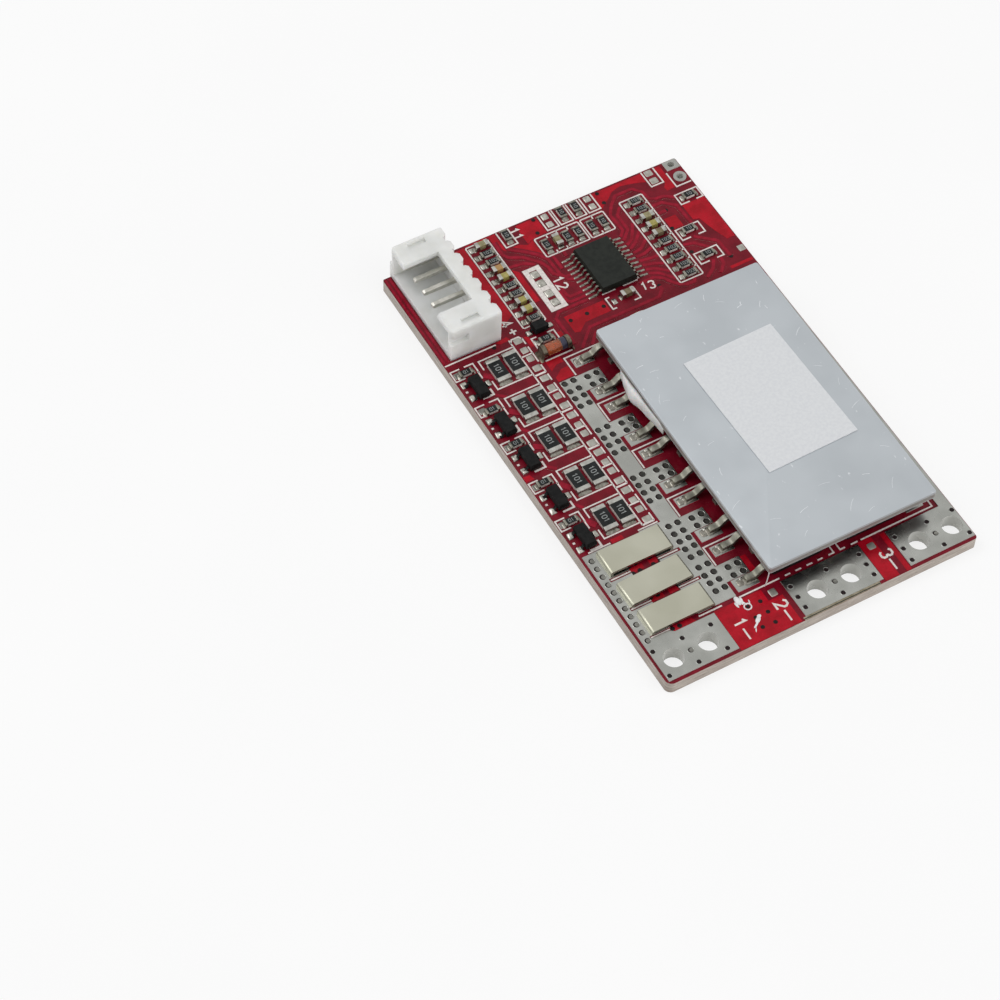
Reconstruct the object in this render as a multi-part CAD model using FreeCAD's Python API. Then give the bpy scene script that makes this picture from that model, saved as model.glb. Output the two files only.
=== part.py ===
import FreeCAD, Part
import math
import os

# Battery management board, millimetres, +Z up.
# Every place below is measured from the front left corner of the board's underside.
# On saving, the whole board is moved so that the centre of its outline lies on the Z axis.

# Circuit board
BOARD_WIDTH = 37.6
BOARD_LENGTH = 60.0
BOARD_THICKNESS = 1.6
FRONT_LEFT_CORNER = 0.8
FRONT_RIGHT_CORNER = 0.35
REAR_CORNER = 0.25
TIN_THICKNESS = 0.1

# Tinned power pads along the front edge, with a pair of lead holes in each
POWER_PAD_FRONT = 0.4
POWER_PAD_DEPTH = 4.85
PACK_PAD_START = 0.3
PACK_PAD_WIDTH = 8.3
LOAD_PAD_WIDTH = 9.5
LOAD_TO_CHARGE_GAP = 3.4
CHARGE_PAD_WIDTH = 8.0
CHARGE_PAD_EDGE_MARGIN = 0.1
LEAD_HOLE_RADIUS = 1.15
LEAD_HOLE_PITCH = 4.1
LEAD_HOLE_ROW = 2.6
PACK_HOLE_INSET = 1.9
LOAD_HOLE_INSET = 2.85
CHARGE_HOLE_EDGE_DISTANCE = 1.5
PLATING = 0.1

# Tinned strips that carry the current beside the shunts and the transistors
EDGE_STRIP_WIDTH = 1.05
BUS_WIDTH = 1.95
BUS_TO_LEAD_PADS = 0.45
BUS_FRONT = 5.95
BUS_PAST_LAST_FINGER = 0.1
BUS_FINGER_LENGTH = 2.85
BUS_FINGER_BELOW = 1.55
BUS_FINGER_ABOVE = 0.65
CHARGE_STRIP_WIDTH = 1.25
CHARGE_STRIP_BACK = 40.2

# Landings under the shunts, parted by gaps
LANDING_BACK = 17.55
LANDING_GAPS = (9.65, 13.7)
LANDING_GAP_WIDTH = 0.46
LEFT_LANDING_END = 3.8
RIGHT_LANDING_START = 7.15

# Current shunts: three metal bridges with turned-down ends
SHUNT_LENGTH = 7.5
SHUNT_WIDTH = 3.05
SHUNT_THICKNESS = 0.35
SHUNT_HEIGHT = 0.6
SHUNT_BEND_RADIUS = 0.3
SHUNT_CENTRES = ((5.4, 7.4), (5.3, 11.35), (5.45, 15.6))
SHUNT_TURNS = (0.0, 1.5, -0.4)

# Power transistors: two rows, leads outward, drain tabs towards the middle.
# The rows fill the board from the power pads to the zone of the control parts.
TRANSISTOR_PITCH = 7.05
TRANSISTOR_FRONT = 9.35
CONTROL_ZONE = 16.5
ROW_CENTRE = 23.8
TAB_GAP = 0.9
MOSFET_LENGTH = 6.1
MOSFET_WIDTH = 6.6
MOSFET_HEIGHT = 2.3
MOSFET_DRAFT = 0.2
SLUG_THICKNESS = 0.5
SLUG_WIDTH = 5.3
SLUG_INSIDE = 4.6
TAB_LENGTH = 1.05
TAB_CORNER = 0.8
LEAD_PITCH = 2.286
LEAD_WIDTH = 0.76
LEAD_THICKNESS = 0.5
LEAD_HEIGHT = 0.8
LEAD_SHOULDER = 0.6
LEAD_FOOT = 1.3
LEAD_REACH = 2.75
STUB_LENGTH = 0.7
LEAD_PAD_BEYOND_TIP = 1.05
RIGHT_PAD_BEYOND_TIP = 0.8
LEAD_PAD_UNDER_FOOT = 1.3
GATE_PAD_HALF = 0.65
SOURCE_PAD_OUTER = 0.9
SOURCE_PAD_EXTRA_LENGTH = 0.25
DRAIN_PAD_HALF = 2.4
DRAIN_PAD_REACH = 5.6

# Aluminium heat plate glued over the transistors
PLATE_LEFT_OVERHANG = 1.05
PLATE_WIDTH = 20.4
PLATE_FRONT_OVERHANG = 0.9
PLATE_LENGTH = 35.15
PLATE_TURN = -0.5
PLATE_THICKNESS = 1.0
PLATE_EDGE_CHAMFER = 0.12
GLUE_THICKNESS = 0.1
GLUE_INSET = 0.25
GLUE_BEAD_WIDTH = 1.0
GLUE_BEAD_FRONT = 26.4
GLUE_BEAD_LENGTH = 8.4
GLUE_BULGE_FROM_CORNER = 5.4
GLUE_BULGE_HALF = 1.8
GLUE_BULGE_REACH = 0.4
GLUE_BULGE_HEIGHT = 0.85

# Paper label on the plate
LABEL_WIDTH = 11.1
LABEL_LENGTH = 16.45
LABEL_THICKNESS = 0.1
LABEL_OFF_CENTRE_X = 1.5
LABEL_OFF_CENTRE_Y = 1.05
LABEL_TURN = 1.1

# Balance socket: side-entry header, mouth to the left
SOCKET_POLES = 6
SOCKET_PITCH = 2.0
SOCKET_END = 1.85
SOCKET_DEPTH = 6.2
SOCKET_HEIGHT = 4.8
SOCKET_START = 1.05
SOCKET_PAST_EDGE = 0.2
SOCKET_WALL = 0.75
SOCKET_BACK_WALL = 1.1
SOCKET_WINDOW_MARGIN = 3.05
SOCKET_WINDOW_DEPTH = 4.3
SOCKET_CORNER = 0.3
SOCKET_ARM_CORNER = 0.55
SIDE_NOTCH_LENGTH = 2.2
SIDE_NOTCH_BOTTOM = 2.4
SIDE_NOTCH_HEIGHT = 1.05
SIDE_NOTCH_DEPTH = 0.5
TOP_SLOT_LENGTH = 2.15
TOP_SLOT_WIDTH = 0.65
TOP_SLOT_DEPTH = 0.35
TOP_SLOT_INSET = 0.6
TOP_SLOT_FROM_MOUTH = 1.75
REAR_GROOVE_WIDTH = 0.6
REAR_GROOVE_DEPTH = 0.45
REAR_GROOVE_FLARE = 0.3
PIN_SIZE = 0.5
PIN_HEIGHT = 2.6
PIN_TIP_FROM_MOUTH = 0.9
PIN_TIP_TAPER = 0.12
PIN_LEG_INSIDE = 0.1

# Controller chip with twenty gull-wing leads
CHIP_FROM_RIGHT = 15.3
CHIP_FROM_BACK = 10.2
CHIP_WIDTH = 4.4
CHIP_LENGTH = 6.5
CHIP_THICKNESS = 1.0
CHIP_STANDOFF = 0.1
CHIP_DRAFT = 0.1
CHIP_LEADS_PER_SIDE = 10
CHIP_LEAD_PITCH = 0.65
CHIP_LEAD_WIDTH = 0.24
CHIP_LEAD_THICKNESS = 0.14
CHIP_LEAD_REACH = 1.0
CHIP_LEAD_FOOT = 0.5
CHIP_LEAD_SHOULDER = 0.25

# Balance channels: two bleed resistors and one small transistor each.
# A channel needs its place between the shunts and the socket.
BLEED_ROWS = (20.6, 26.2, 32.0, 37.1, 42.8)
BLEED_TO_SOCKET_GAP = 1.0
BLEED_LENGTH = 3.2
BLEED_WIDTH = 1.6
BLEED_HEIGHT = 0.55
BLEED_CAP = 0.5
BLEED_X = 4.8
BLEED_SPACING = 2.03
SMALL_TRANSISTOR_X = 1.8
SMALL_TRANSISTOR_BELOW = 1.1
SMALL_BODY_WIDTH = 1.3
SMALL_BODY_LENGTH = 2.9
SMALL_BODY_HEIGHT = 0.95
SMALL_BODY_STANDOFF = 0.08
SMALL_BODY_DRAFT = 0.1
SMALL_LEAD_PITCH = 1.9
SMALL_LEAD_WIDTH = 0.4
SMALL_LEAD_THICKNESS = 0.15
SMALL_LEAD_HEIGHT = 0.45
SMALL_LEAD_SHOULDER = 0.15
SMALL_LEAD_FOOT = 0.3
SMALL_LEAD_REACH = 0.55
GATE_RESISTOR_X = 1.6
GATE_RESISTOR_ABOVE = 1.4

# Small chip resistors and capacitors
SMALL_CHIP_LENGTH = 1.6
SMALL_CHIP_WIDTH = 0.8
SMALL_CHIP_HEIGHT = 0.45
CAPACITOR_HEIGHT = 0.7
SMALL_CHIP_CAP = 0.3
CAP_STEP = 0.03
SOCKET_COLUMN_TOWARDS_SOCKET = 0.775
SOCKET_COLUMN_FROM_BACK = 1.1
SOCKET_COLUMN_PITCH = 1.287
SOCKET_COLUMN_KINDS = "crrccrrccr"
RIGHT_COLUMN_FROM_RIGHT = 7.45
RIGHT_COLUMN_FROM_BACK = 3.6
RIGHT_COLUMN_PITCH = 1.31
RIGHT_COLUMN_KINDS = "rrcccrrrrr"
CHIP_ROW_FROM_BACK = 4.45
CHIP_ROW = ((-4.05, "r"), (-2.7, "c"), (-1.4, "r"), (0.0, "r"), (1.75, "r"), (3.2, "r"))
EDGE_ROW_FROM_BACK = 1.1
EDGE_ROW = (-0.25, 1.55)
EDGE_CHIP_BESIDE_COLUMN = 3.15
CAPACITOR_RIGHT_OF_CHIP = 0.25
CAPACITOR_FRONT_OF_CHIP = 4.45
RIGHT_RESISTORS = ((4.3, 9.95), (4.3, 14.0), (1.6, 5.65))

# Small parts beside the socket: a clamp diode, a link resistor and a glass diode
LINK_X = 11.5
LINK_FROM_BACK = 15.85
CLAMP_X = 11.6
CLAMP_FROM_BACK = 14.25
CLAMP_BODY_LENGTH = 1.7
CLAMP_BODY_WIDTH = 1.3
CLAMP_BODY_HEIGHT = 0.9
CLAMP_LEAD_WIDTH = 0.35
CLAMP_LEAD_REACH = 0.55
GLASS_X = 11.6
GLASS_FROM_BACK = 17.6
GLASS_LENGTH = 3.6
GLASS_RADIUS = 0.68
GLASS_CAP_RADIUS = 0.75
GLASS_CAP_LENGTH = 0.6

# Sensor connection: one square and one round plated pad near the right edge
SENSOR_X_FROM_RIGHT = 0.95
SENSOR_SQUARE_FROM_BACK = 0.7
SENSOR_PITCH = 2.0
SENSOR_ROUND_PAD_RADIUS = 0.75
SENSOR_SQUARE_WIDTH = 1.7
SENSOR_SQUARE_LENGTH = 1.3
SENSOR_SQUARE_MARGIN = 0.1
SENSOR_HOLE_RADIUS = 0.4

# Levels and places worked out from the sizes above
TOP = BOARD_THICKNESS
PAD_TOP = TOP + TIN_THICKNESS
MOSFET_TOP = PAD_TOP + MOSFET_HEIGHT
PLATE_BOTTOM = MOSFET_TOP + GLUE_THICKNESS
PLATE_TOP = PLATE_BOTTOM + PLATE_THICKNESS
LEFT_BODY_FACE = ROW_CENTRE - TAB_GAP / 2 - TAB_LENGTH - MOSFET_LENGTH
RIGHT_BODY_FACE = ROW_CENTRE + TAB_GAP / 2 + TAB_LENGTH + MOSFET_LENGTH
PLATE_START = LEFT_BODY_FACE - PLATE_LEFT_OVERHANG
PLATE_FRONT = TRANSISTOR_FRONT - MOSFET_WIDTH / 2 - PLATE_FRONT_OVERHANG
LEAD_PADS_START = LEFT_BODY_FACE - LEAD_REACH - LEAD_PAD_BEYOND_TIP - SOURCE_PAD_EXTRA_LENGTH
BUS_END = LEAD_PADS_START - BUS_TO_LEAD_PADS
BUS_START = BUS_END - BUS_WIDTH
CHARGE_PAD_END = BOARD_WIDTH - CHARGE_PAD_EDGE_MARGIN
CHARGE_PAD_START = CHARGE_PAD_END - CHARGE_PAD_WIDTH
LOAD_PAD_START = CHARGE_PAD_START - LOAD_TO_CHARGE_GAP - LOAD_PAD_WIDTH
CHIP_X = BOARD_WIDTH - CHIP_FROM_RIGHT
CHIP_Y = BOARD_LENGTH - CHIP_FROM_BACK
SOCKET_LENGTH = (SOCKET_POLES - 1) * SOCKET_PITCH + 2 * SOCKET_END
SOCKET_BACK = BOARD_LENGTH + SOCKET_PAST_EDGE
SOCKET_FRONT = SOCKET_BACK - SOCKET_LENGTH
SOCKET_REAR = SOCKET_START + SOCKET_DEPTH
PIN_LEG_X = SOCKET_REAR - PIN_LEG_INSIDE
PIN_LEG_END = PIN_LEG_X + PIN_SIZE / 2
CHIP_ROW_START = CHIP_X + CHIP_ROW[0][0] - SMALL_CHIP_WIDTH / 2
SOCKET_COLUMN_X = (PIN_LEG_END + CHIP_ROW_START) / 2 - SOCKET_COLUMN_TOWARDS_SOCKET
OUTLINE_CENTRE = FreeCAD.Vector(BOARD_WIDTH / 2, max(BOARD_LENGTH, SOCKET_BACK) / 2, 0)


def box(x0, x1, y0, y1, z0, z1):
    return Part.makeBox(x1 - x0, y1 - y0, z1 - z0, FreeCAD.Vector(x0, y0, z0))


def upright_cylinder(x, y, z0, z1, radius):
    return Part.makeCylinder(radius, z1 - z0, FreeCAD.Vector(x, y, z0))


def prism_along_y(outline, y0, y1):
    """A prism whose outline is given as (x, z) points in the plane y0."""
    points = [FreeCAD.Vector(x, y0, z) for x, z in outline]
    face = Part.Face(Part.makePolygon(points + points[:1]))
    return face.extrude(FreeCAD.Vector(0, y1 - y0, 0))


def prism_along_z(outline, z0, z1):
    """A prism whose outline is given as (x, y) points in the plane z0."""
    points = [FreeCAD.Vector(x, y, z0) for x, y in outline]
    face = Part.Face(Part.makePolygon(points + points[:1]))
    return face.extrude(FreeCAD.Vector(0, 0, z1 - z0))


def fuse(shapes):
    """One solid from pieces that touch or overlap."""
    whole = shapes[0].multiFuse(shapes[1:]) if len(shapes) > 1 else shapes[0]
    return whole.removeSplitter()


def drafted_body(length, width, bottom, top, band, draft):
    """Moulded package centred on the Z axis, widest at the upright band that its leads leave."""
    sections = []
    for z, inset in ((bottom, draft), (band[0], 0.0), (band[1], 0.0), (top, draft)):
        x = length / 2 - inset
        y = width / 2 - inset
        corners = [FreeCAD.Vector(a, b, z) for a, b in ((-x, -y), (x, -y), (x, y), (-x, y))]
        sections.append(Part.makePolygon(corners + corners[:1]))
    return Part.makeLoft(sections, True, True)


def gull_wing(reach, foot, shoulder, height, thickness, width):
    """Bent lead that leaves a body face at x = 0 and stands on z = 0 at x = reach."""
    toe = reach - foot
    outline = [
        (0.0, height),
        (shoulder, height),
        (toe, 0.0),
        (reach, 0.0),
        (reach, thickness),
        (toe + thickness * 0.4, thickness),
        (shoulder + thickness * 0.4, height + thickness),
        (0.0, height + thickness),
    ]
    return prism_along_y(outline, -width / 2, width / 2)


def moved(shape, x, y, z, turn=0.0):
    copy = shape.copy()
    if turn:
        copy.rotate(FreeCAD.Vector(0, 0, 0), FreeCAD.Vector(0, 0, 1), turn)
    copy.translate(FreeCAD.Vector(x, y, z))
    return copy


def save(name, solids):
    """Write one node, from a solid or a list of separate solids."""
    shape = Part.makeCompound(solids) if isinstance(solids, list) else solids.copy()
    shape.translate(-OUTLINE_CENTRE)
    shape.exportStep("parts/" + name + ".step")


def lead_holes():
    """Centres of the lead holes, by pad."""
    charge_last = BOARD_WIDTH - CHARGE_HOLE_EDGE_DISTANCE
    starts = {
        "pack": PACK_PAD_START + PACK_HOLE_INSET,
        "load": LOAD_PAD_START + LOAD_HOLE_INSET,
        "charge": charge_last - LEAD_HOLE_PITCH,
    }
    return {pad: [(x, LEAD_HOLE_ROW), (x + LEAD_HOLE_PITCH, LEAD_HOLE_ROW)] for pad, x in starts.items()}


def sensor_holes():
    x = BOARD_WIDTH - SENSOR_X_FROM_RIGHT
    y = BOARD_LENGTH - SENSOR_SQUARE_FROM_BACK
    return [(x, y), (x, y - SENSOR_PITCH)]


def pole_rows():
    first = SOCKET_FRONT + SOCKET_END
    return [first + SOCKET_PITCH * i for i in range(SOCKET_POLES)]


def transistor_rows():
    room = BOARD_LENGTH - CONTROL_ZONE - MOSFET_WIDTH / 2 - TRANSISTOR_FRONT
    count = int(room / TRANSISTOR_PITCH) + 1
    return [TRANSISTOR_FRONT + TRANSISTOR_PITCH * i for i in range(count)]


def bleed_rows():
    """The channels whose resistors and gate resistor end clear of the socket."""
    reach = max(BLEED_LENGTH / 2, GATE_RESISTOR_ABOVE + SMALL_CHIP_WIDTH / 2) + BLEED_TO_SOCKET_GAP
    return [y for y in BLEED_ROWS if y + reach <= SOCKET_FRONT]


def circuit_board():
    plate = box(0, BOARD_WIDTH, 0, BOARD_LENGTH, 0, TOP)
    corners = [
        (0, 0, FRONT_LEFT_CORNER),
        (BOARD_WIDTH, 0, FRONT_RIGHT_CORNER),
        (0, BOARD_LENGTH, REAR_CORNER),
        (BOARD_WIDTH, BOARD_LENGTH, REAR_CORNER),
    ]
    for x, y, radius in corners:
        middle = FreeCAD.Vector(x, y, TOP / 2)
        upright = [e for e in plate.Edges if e.CenterOfMass.distanceToPoint(middle) < 0.01]
        plate = plate.makeFillet(radius, upright)
    cuts = []
    for centres in lead_holes().values():
        for x, y in centres:
            cuts.append(upright_cylinder(x, y, 0, TOP, LEAD_HOLE_RADIUS + PLATING))
    for x, y in sensor_holes():
        cuts.append(upright_cylinder(x, y, 0, TOP, SENSOR_HOLE_RADIUS + PLATING))
    half = PIN_SIZE / 2
    for y in pole_rows():
        cuts.append(box(PIN_LEG_X - half, PIN_LEG_END, y - half, y + half, 0, TOP))
    return plate.cut(Part.makeCompound(cuts))


def with_lead_holes(pad, centres):
    """A tinned pad with plated holes that run down to the underside of the board."""
    barrels = [upright_cylinder(x, y, 0, TOP, LEAD_HOLE_RADIUS + PLATING) for x, y in centres]
    bores = [upright_cylinder(x, y, 0, PAD_TOP, LEAD_HOLE_RADIUS) for x, y in centres]
    return fuse(pad + barrels).cut(Part.makeCompound(bores))


def shunt_landings(x0, x1):
    """Tinned landings between two lines across the board, one for each shunt."""
    half = LANDING_GAP_WIDTH / 2
    fronts = [BUS_FRONT] + [gap + half for gap in LANDING_GAPS]
    backs = [gap - half for gap in LANDING_GAPS] + [LANDING_BACK]
    return [box(x0, x1, y0, y1, TOP, PAD_TOP) for y0, y1 in zip(fronts, backs)]


def pack_pad(centres):
    back = POWER_PAD_FRONT + POWER_PAD_DEPTH
    strip_end = PACK_PAD_START + EDGE_STRIP_WIDTH
    pieces = [
        box(PACK_PAD_START, PACK_PAD_START + PACK_PAD_WIDTH, POWER_PAD_FRONT, back, TOP, PAD_TOP),
        box(PACK_PAD_START, strip_end, back, LANDING_BACK, TOP, PAD_TOP),
    ]
    return with_lead_holes(pieces + shunt_landings(strip_end, LEFT_LANDING_END), centres)


def load_pad(centres):
    back = POWER_PAD_FRONT + POWER_PAD_DEPTH
    pad = box(LOAD_PAD_START, LOAD_PAD_START + LOAD_PAD_WIDTH, POWER_PAD_FRONT, back, TOP, PAD_TOP)
    return with_lead_holes([pad], centres)


def charge_pad(centres):
    back = POWER_PAD_FRONT + POWER_PAD_DEPTH
    strip_start = CHARGE_PAD_END - CHARGE_STRIP_WIDTH
    pieces = [
        box(CHARGE_PAD_START, CHARGE_PAD_END, POWER_PAD_FRONT, back, TOP, PAD_TOP),
        box(strip_start, CHARGE_PAD_END, back, CHARGE_STRIP_BACK, TOP, PAD_TOP),
    ]
    return with_lead_holes(pieces, centres)


def current_bus():
    """Tinned strip beside the left row, with a finger towards each transistor."""
    rows = transistor_rows()
    back = rows[-1] + BUS_FINGER_ABOVE + BUS_PAST_LAST_FINGER
    pieces = [box(BUS_START, BUS_END, BUS_FRONT, back, TOP, PAD_TOP)]
    for y in rows:
        finger = (y - BUS_FINGER_BELOW, y + BUS_FINGER_ABOVE)
        pieces.append(box(BUS_END, BUS_END + BUS_FINGER_LENGTH, finger[0], finger[1], TOP, PAD_TOP))
    return fuse(pieces + shunt_landings(RIGHT_LANDING_START, BUS_START))


def body_face(side):
    """Where the leads leave the bodies: side is -1 for the left row and 1 for the right."""
    return LEFT_BODY_FACE if side < 0 else RIGHT_BODY_FACE


def facing(side):
    """Turn that points a part's leads outward."""
    return 0.0 if side > 0 else 180.0


def lead_pads():
    """Pads under the transistors' feet. On the left the source's pad reaches out furthest."""
    left_tip = LEFT_BODY_FACE - LEAD_REACH
    right_tip = RIGHT_BODY_FACE + LEAD_REACH
    left_inner = left_tip + LEAD_PAD_UNDER_FOOT
    right_inner = right_tip - LEAD_PAD_UNDER_FOOT
    right_outer = right_tip + RIGHT_PAD_BEYOND_TIP
    pads = []
    for row in transistor_rows():
        gate = (row + LEAD_PITCH - GATE_PAD_HALF, row + LEAD_PITCH + GATE_PAD_HALF)
        source = (row - LEAD_PITCH - SOURCE_PAD_OUTER, row - LEAD_PITCH + GATE_PAD_HALF)
        pads.append(box(left_tip - LEAD_PAD_BEYOND_TIP, left_inner, gate[0], gate[1], TOP, PAD_TOP))
        pads.append(box(LEAD_PADS_START, left_inner, source[0], source[1], TOP, PAD_TOP))
        for low, high in (gate, source):
            pads.append(box(right_inner, right_outer, low, high, TOP, PAD_TOP))
    return pads


def drain_pads():
    """One tinned pad under the drain tabs of each facing pair."""
    x0 = ROW_CENTRE - DRAIN_PAD_REACH
    x1 = ROW_CENTRE + DRAIN_PAD_REACH
    return [box(x0, x1, y - DRAIN_PAD_HALF, y + DRAIN_PAD_HALF, TOP, PAD_TOP) for y in transistor_rows()]


def mosfet_body():
    """Moulded body with the slug let into its underside; leads leave towards +X at x = 0."""
    band = (LEAD_HEIGHT, LEAD_HEIGHT + LEAD_THICKNESS)
    body = drafted_body(MOSFET_LENGTH, MOSFET_WIDTH, 0, MOSFET_HEIGHT, band, MOSFET_DRAFT)
    body.translate(FreeCAD.Vector(-MOSFET_LENGTH / 2, 0, 0))
    pocket_end = -MOSFET_LENGTH + SLUG_INSIDE
    half = SLUG_WIDTH / 2
    pocket = box(-MOSFET_LENGTH, pocket_end, -half, half, 0, SLUG_THICKNESS)
    return body.cut(pocket)


def mosfet_leadframe():
    """Drain slug with its tab, two bent leads and the cut middle lead."""
    start = -MOSFET_LENGTH - TAB_LENGTH
    half = SLUG_WIDTH / 2
    outline = [
        (start + TAB_CORNER, -half),
        (-MOSFET_LENGTH + SLUG_INSIDE, -half),
        (-MOSFET_LENGTH + SLUG_INSIDE, half),
        (start + TAB_CORNER, half),
        (start, half - TAB_CORNER),
        (start, -half + TAB_CORNER),
    ]
    pieces = [prism_along_z(outline, 0, SLUG_THICKNESS)]
    lead = gull_wing(LEAD_REACH, LEAD_FOOT, LEAD_SHOULDER, LEAD_HEIGHT, LEAD_THICKNESS, LEAD_WIDTH)
    for y in (-LEAD_PITCH, LEAD_PITCH):
        pieces.append(moved(lead, 0, y, 0))
    low = LEAD_HEIGHT
    high = LEAD_HEIGHT + LEAD_THICKNESS
    stub = [(0, low), (STUB_LENGTH, low + LEAD_THICKNESS / 3), (STUB_LENGTH, high), (0, high)]
    pieces.append(prism_along_y(stub, -LEAD_WIDTH / 2, LEAD_WIDTH / 2))
    return pieces


def heat_plate():
    half_width = PLATE_WIDTH / 2
    half_length = PLATE_LENGTH / 2
    plate = box(-half_width, half_width, -half_length, half_length, 0, PLATE_THICKNESS)
    rim = [e for e in plate.Edges if min(v.Z for v in e.Vertexes) > PLATE_THICKNESS - 0.01]
    plate = plate.makeChamfer(PLATE_EDGE_CHAMFER, rim)
    return moved(plate, PLATE_START + half_width, PLATE_FRONT + half_length, PLATE_BOTTOM, PLATE_TURN)


def glue():
    """White silicone: a film between bodies and plate, squeezed out at two places."""
    left = LEFT_BODY_FACE + MOSFET_DRAFT
    right = RIGHT_BODY_FACE - MOSFET_DRAFT
    plate_back = PLATE_FRONT + PLATE_LENGTH
    front = TRANSISTOR_FRONT - MOSFET_WIDTH / 2 + GLUE_INSET
    film_back = plate_back - GLUE_INSET
    film = box(left, right, front, film_back, MOSFET_TOP, PLATE_BOTTOM)
    lead_top = PAD_TOP + LEAD_HEIGHT + LEAD_THICKNESS
    bead_back = GLUE_BEAD_FRONT + GLUE_BEAD_LENGTH
    bead = [(LEFT_BODY_FACE, GLUE_BEAD_FRONT)]
    for along, out in ((0.13, 0.15), (0.3, 0.45), (0.47, 0.5), (0.58, 1.0), (0.75, 0.7), (0.87, 0.45)):
        bead.append((PLATE_START - GLUE_BEAD_WIDTH * out, GLUE_BEAD_FRONT + GLUE_BEAD_LENGTH * along))
    bead.append((LEFT_BODY_FACE, bead_back))
    spill = prism_along_z(bead, lead_top, PLATE_BOTTOM)
    bridge = box(LEFT_BODY_FACE, left, GLUE_BEAD_FRONT, bead_back, MOSFET_TOP, PLATE_BOTTOM)
    bulge_x = PLATE_START + GLUE_BULGE_FROM_CORNER
    low = FreeCAD.Vector(bulge_x - GLUE_BULGE_HALF, film_back, MOSFET_TOP)
    high = FreeCAD.Vector(bulge_x + GLUE_BULGE_HALF, film_back, MOSFET_TOP)
    crest = FreeCAD.Vector(bulge_x, plate_back + GLUE_BULGE_REACH, MOSFET_TOP)
    rim = Part.Wire([Part.Arc(low, crest, high).toShape(), Part.makeLine(high, low)])
    bulge = Part.Face(rim).extrude(FreeCAD.Vector(0, 0, GLUE_BULGE_HEIGHT)).cut(heat_plate())
    return fuse([film, spill, bridge, bulge])


def label():
    half_width = LABEL_WIDTH / 2
    half_length = LABEL_LENGTH / 2
    sheet = box(-half_width, half_width, -half_length, half_length, 0, LABEL_THICKNESS)
    x = PLATE_START + PLATE_WIDTH / 2 + LABEL_OFF_CENTRE_X
    y = PLATE_FRONT + PLATE_LENGTH / 2 + LABEL_OFF_CENTRE_Y
    return moved(sheet, x, y, PLATE_TOP, LABEL_TURN)


def shunt():
    """Bridge with rounded bends, centred on the Z axis and standing on z = 0."""
    end = SHUNT_LENGTH / 2
    inner_end = end - SHUNT_THICKNESS
    ceiling = SHUNT_HEIGHT - SHUNT_THICKNESS
    half = SHUNT_WIDTH / 2
    bend = SHUNT_BEND_RADIUS
    corner = bend * (1 - math.sqrt(0.5))

    def at(x, z):
        return FreeCAD.Vector(x, -half, z)

    edges = [
        Part.makeLine(at(-end, 0), at(-end, SHUNT_HEIGHT - bend)),
        Part.Arc(
            at(-end, SHUNT_HEIGHT - bend),
            at(-end + corner, SHUNT_HEIGHT - corner),
            at(-end + bend, SHUNT_HEIGHT),
        ).toShape(),
        Part.makeLine(at(-end + bend, SHUNT_HEIGHT), at(end - bend, SHUNT_HEIGHT)),
        Part.Arc(
            at(end - bend, SHUNT_HEIGHT),
            at(end - corner, SHUNT_HEIGHT - corner),
            at(end, SHUNT_HEIGHT - bend),
        ).toShape(),
        Part.makeLine(at(end, SHUNT_HEIGHT - bend), at(end, 0)),
        Part.makeLine(at(end, 0), at(inner_end, 0)),
        Part.makeLine(at(inner_end, 0), at(inner_end, ceiling)),
        Part.makeLine(at(inner_end, ceiling), at(-inner_end, ceiling)),
        Part.makeLine(at(-inner_end, ceiling), at(-inner_end, 0)),
        Part.makeLine(at(-inner_end, 0), at(-end, 0)),
    ]
    return Part.Face(Part.Wire(edges)).extrude(FreeCAD.Vector(0, SHUNT_WIDTH, 0))


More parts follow.
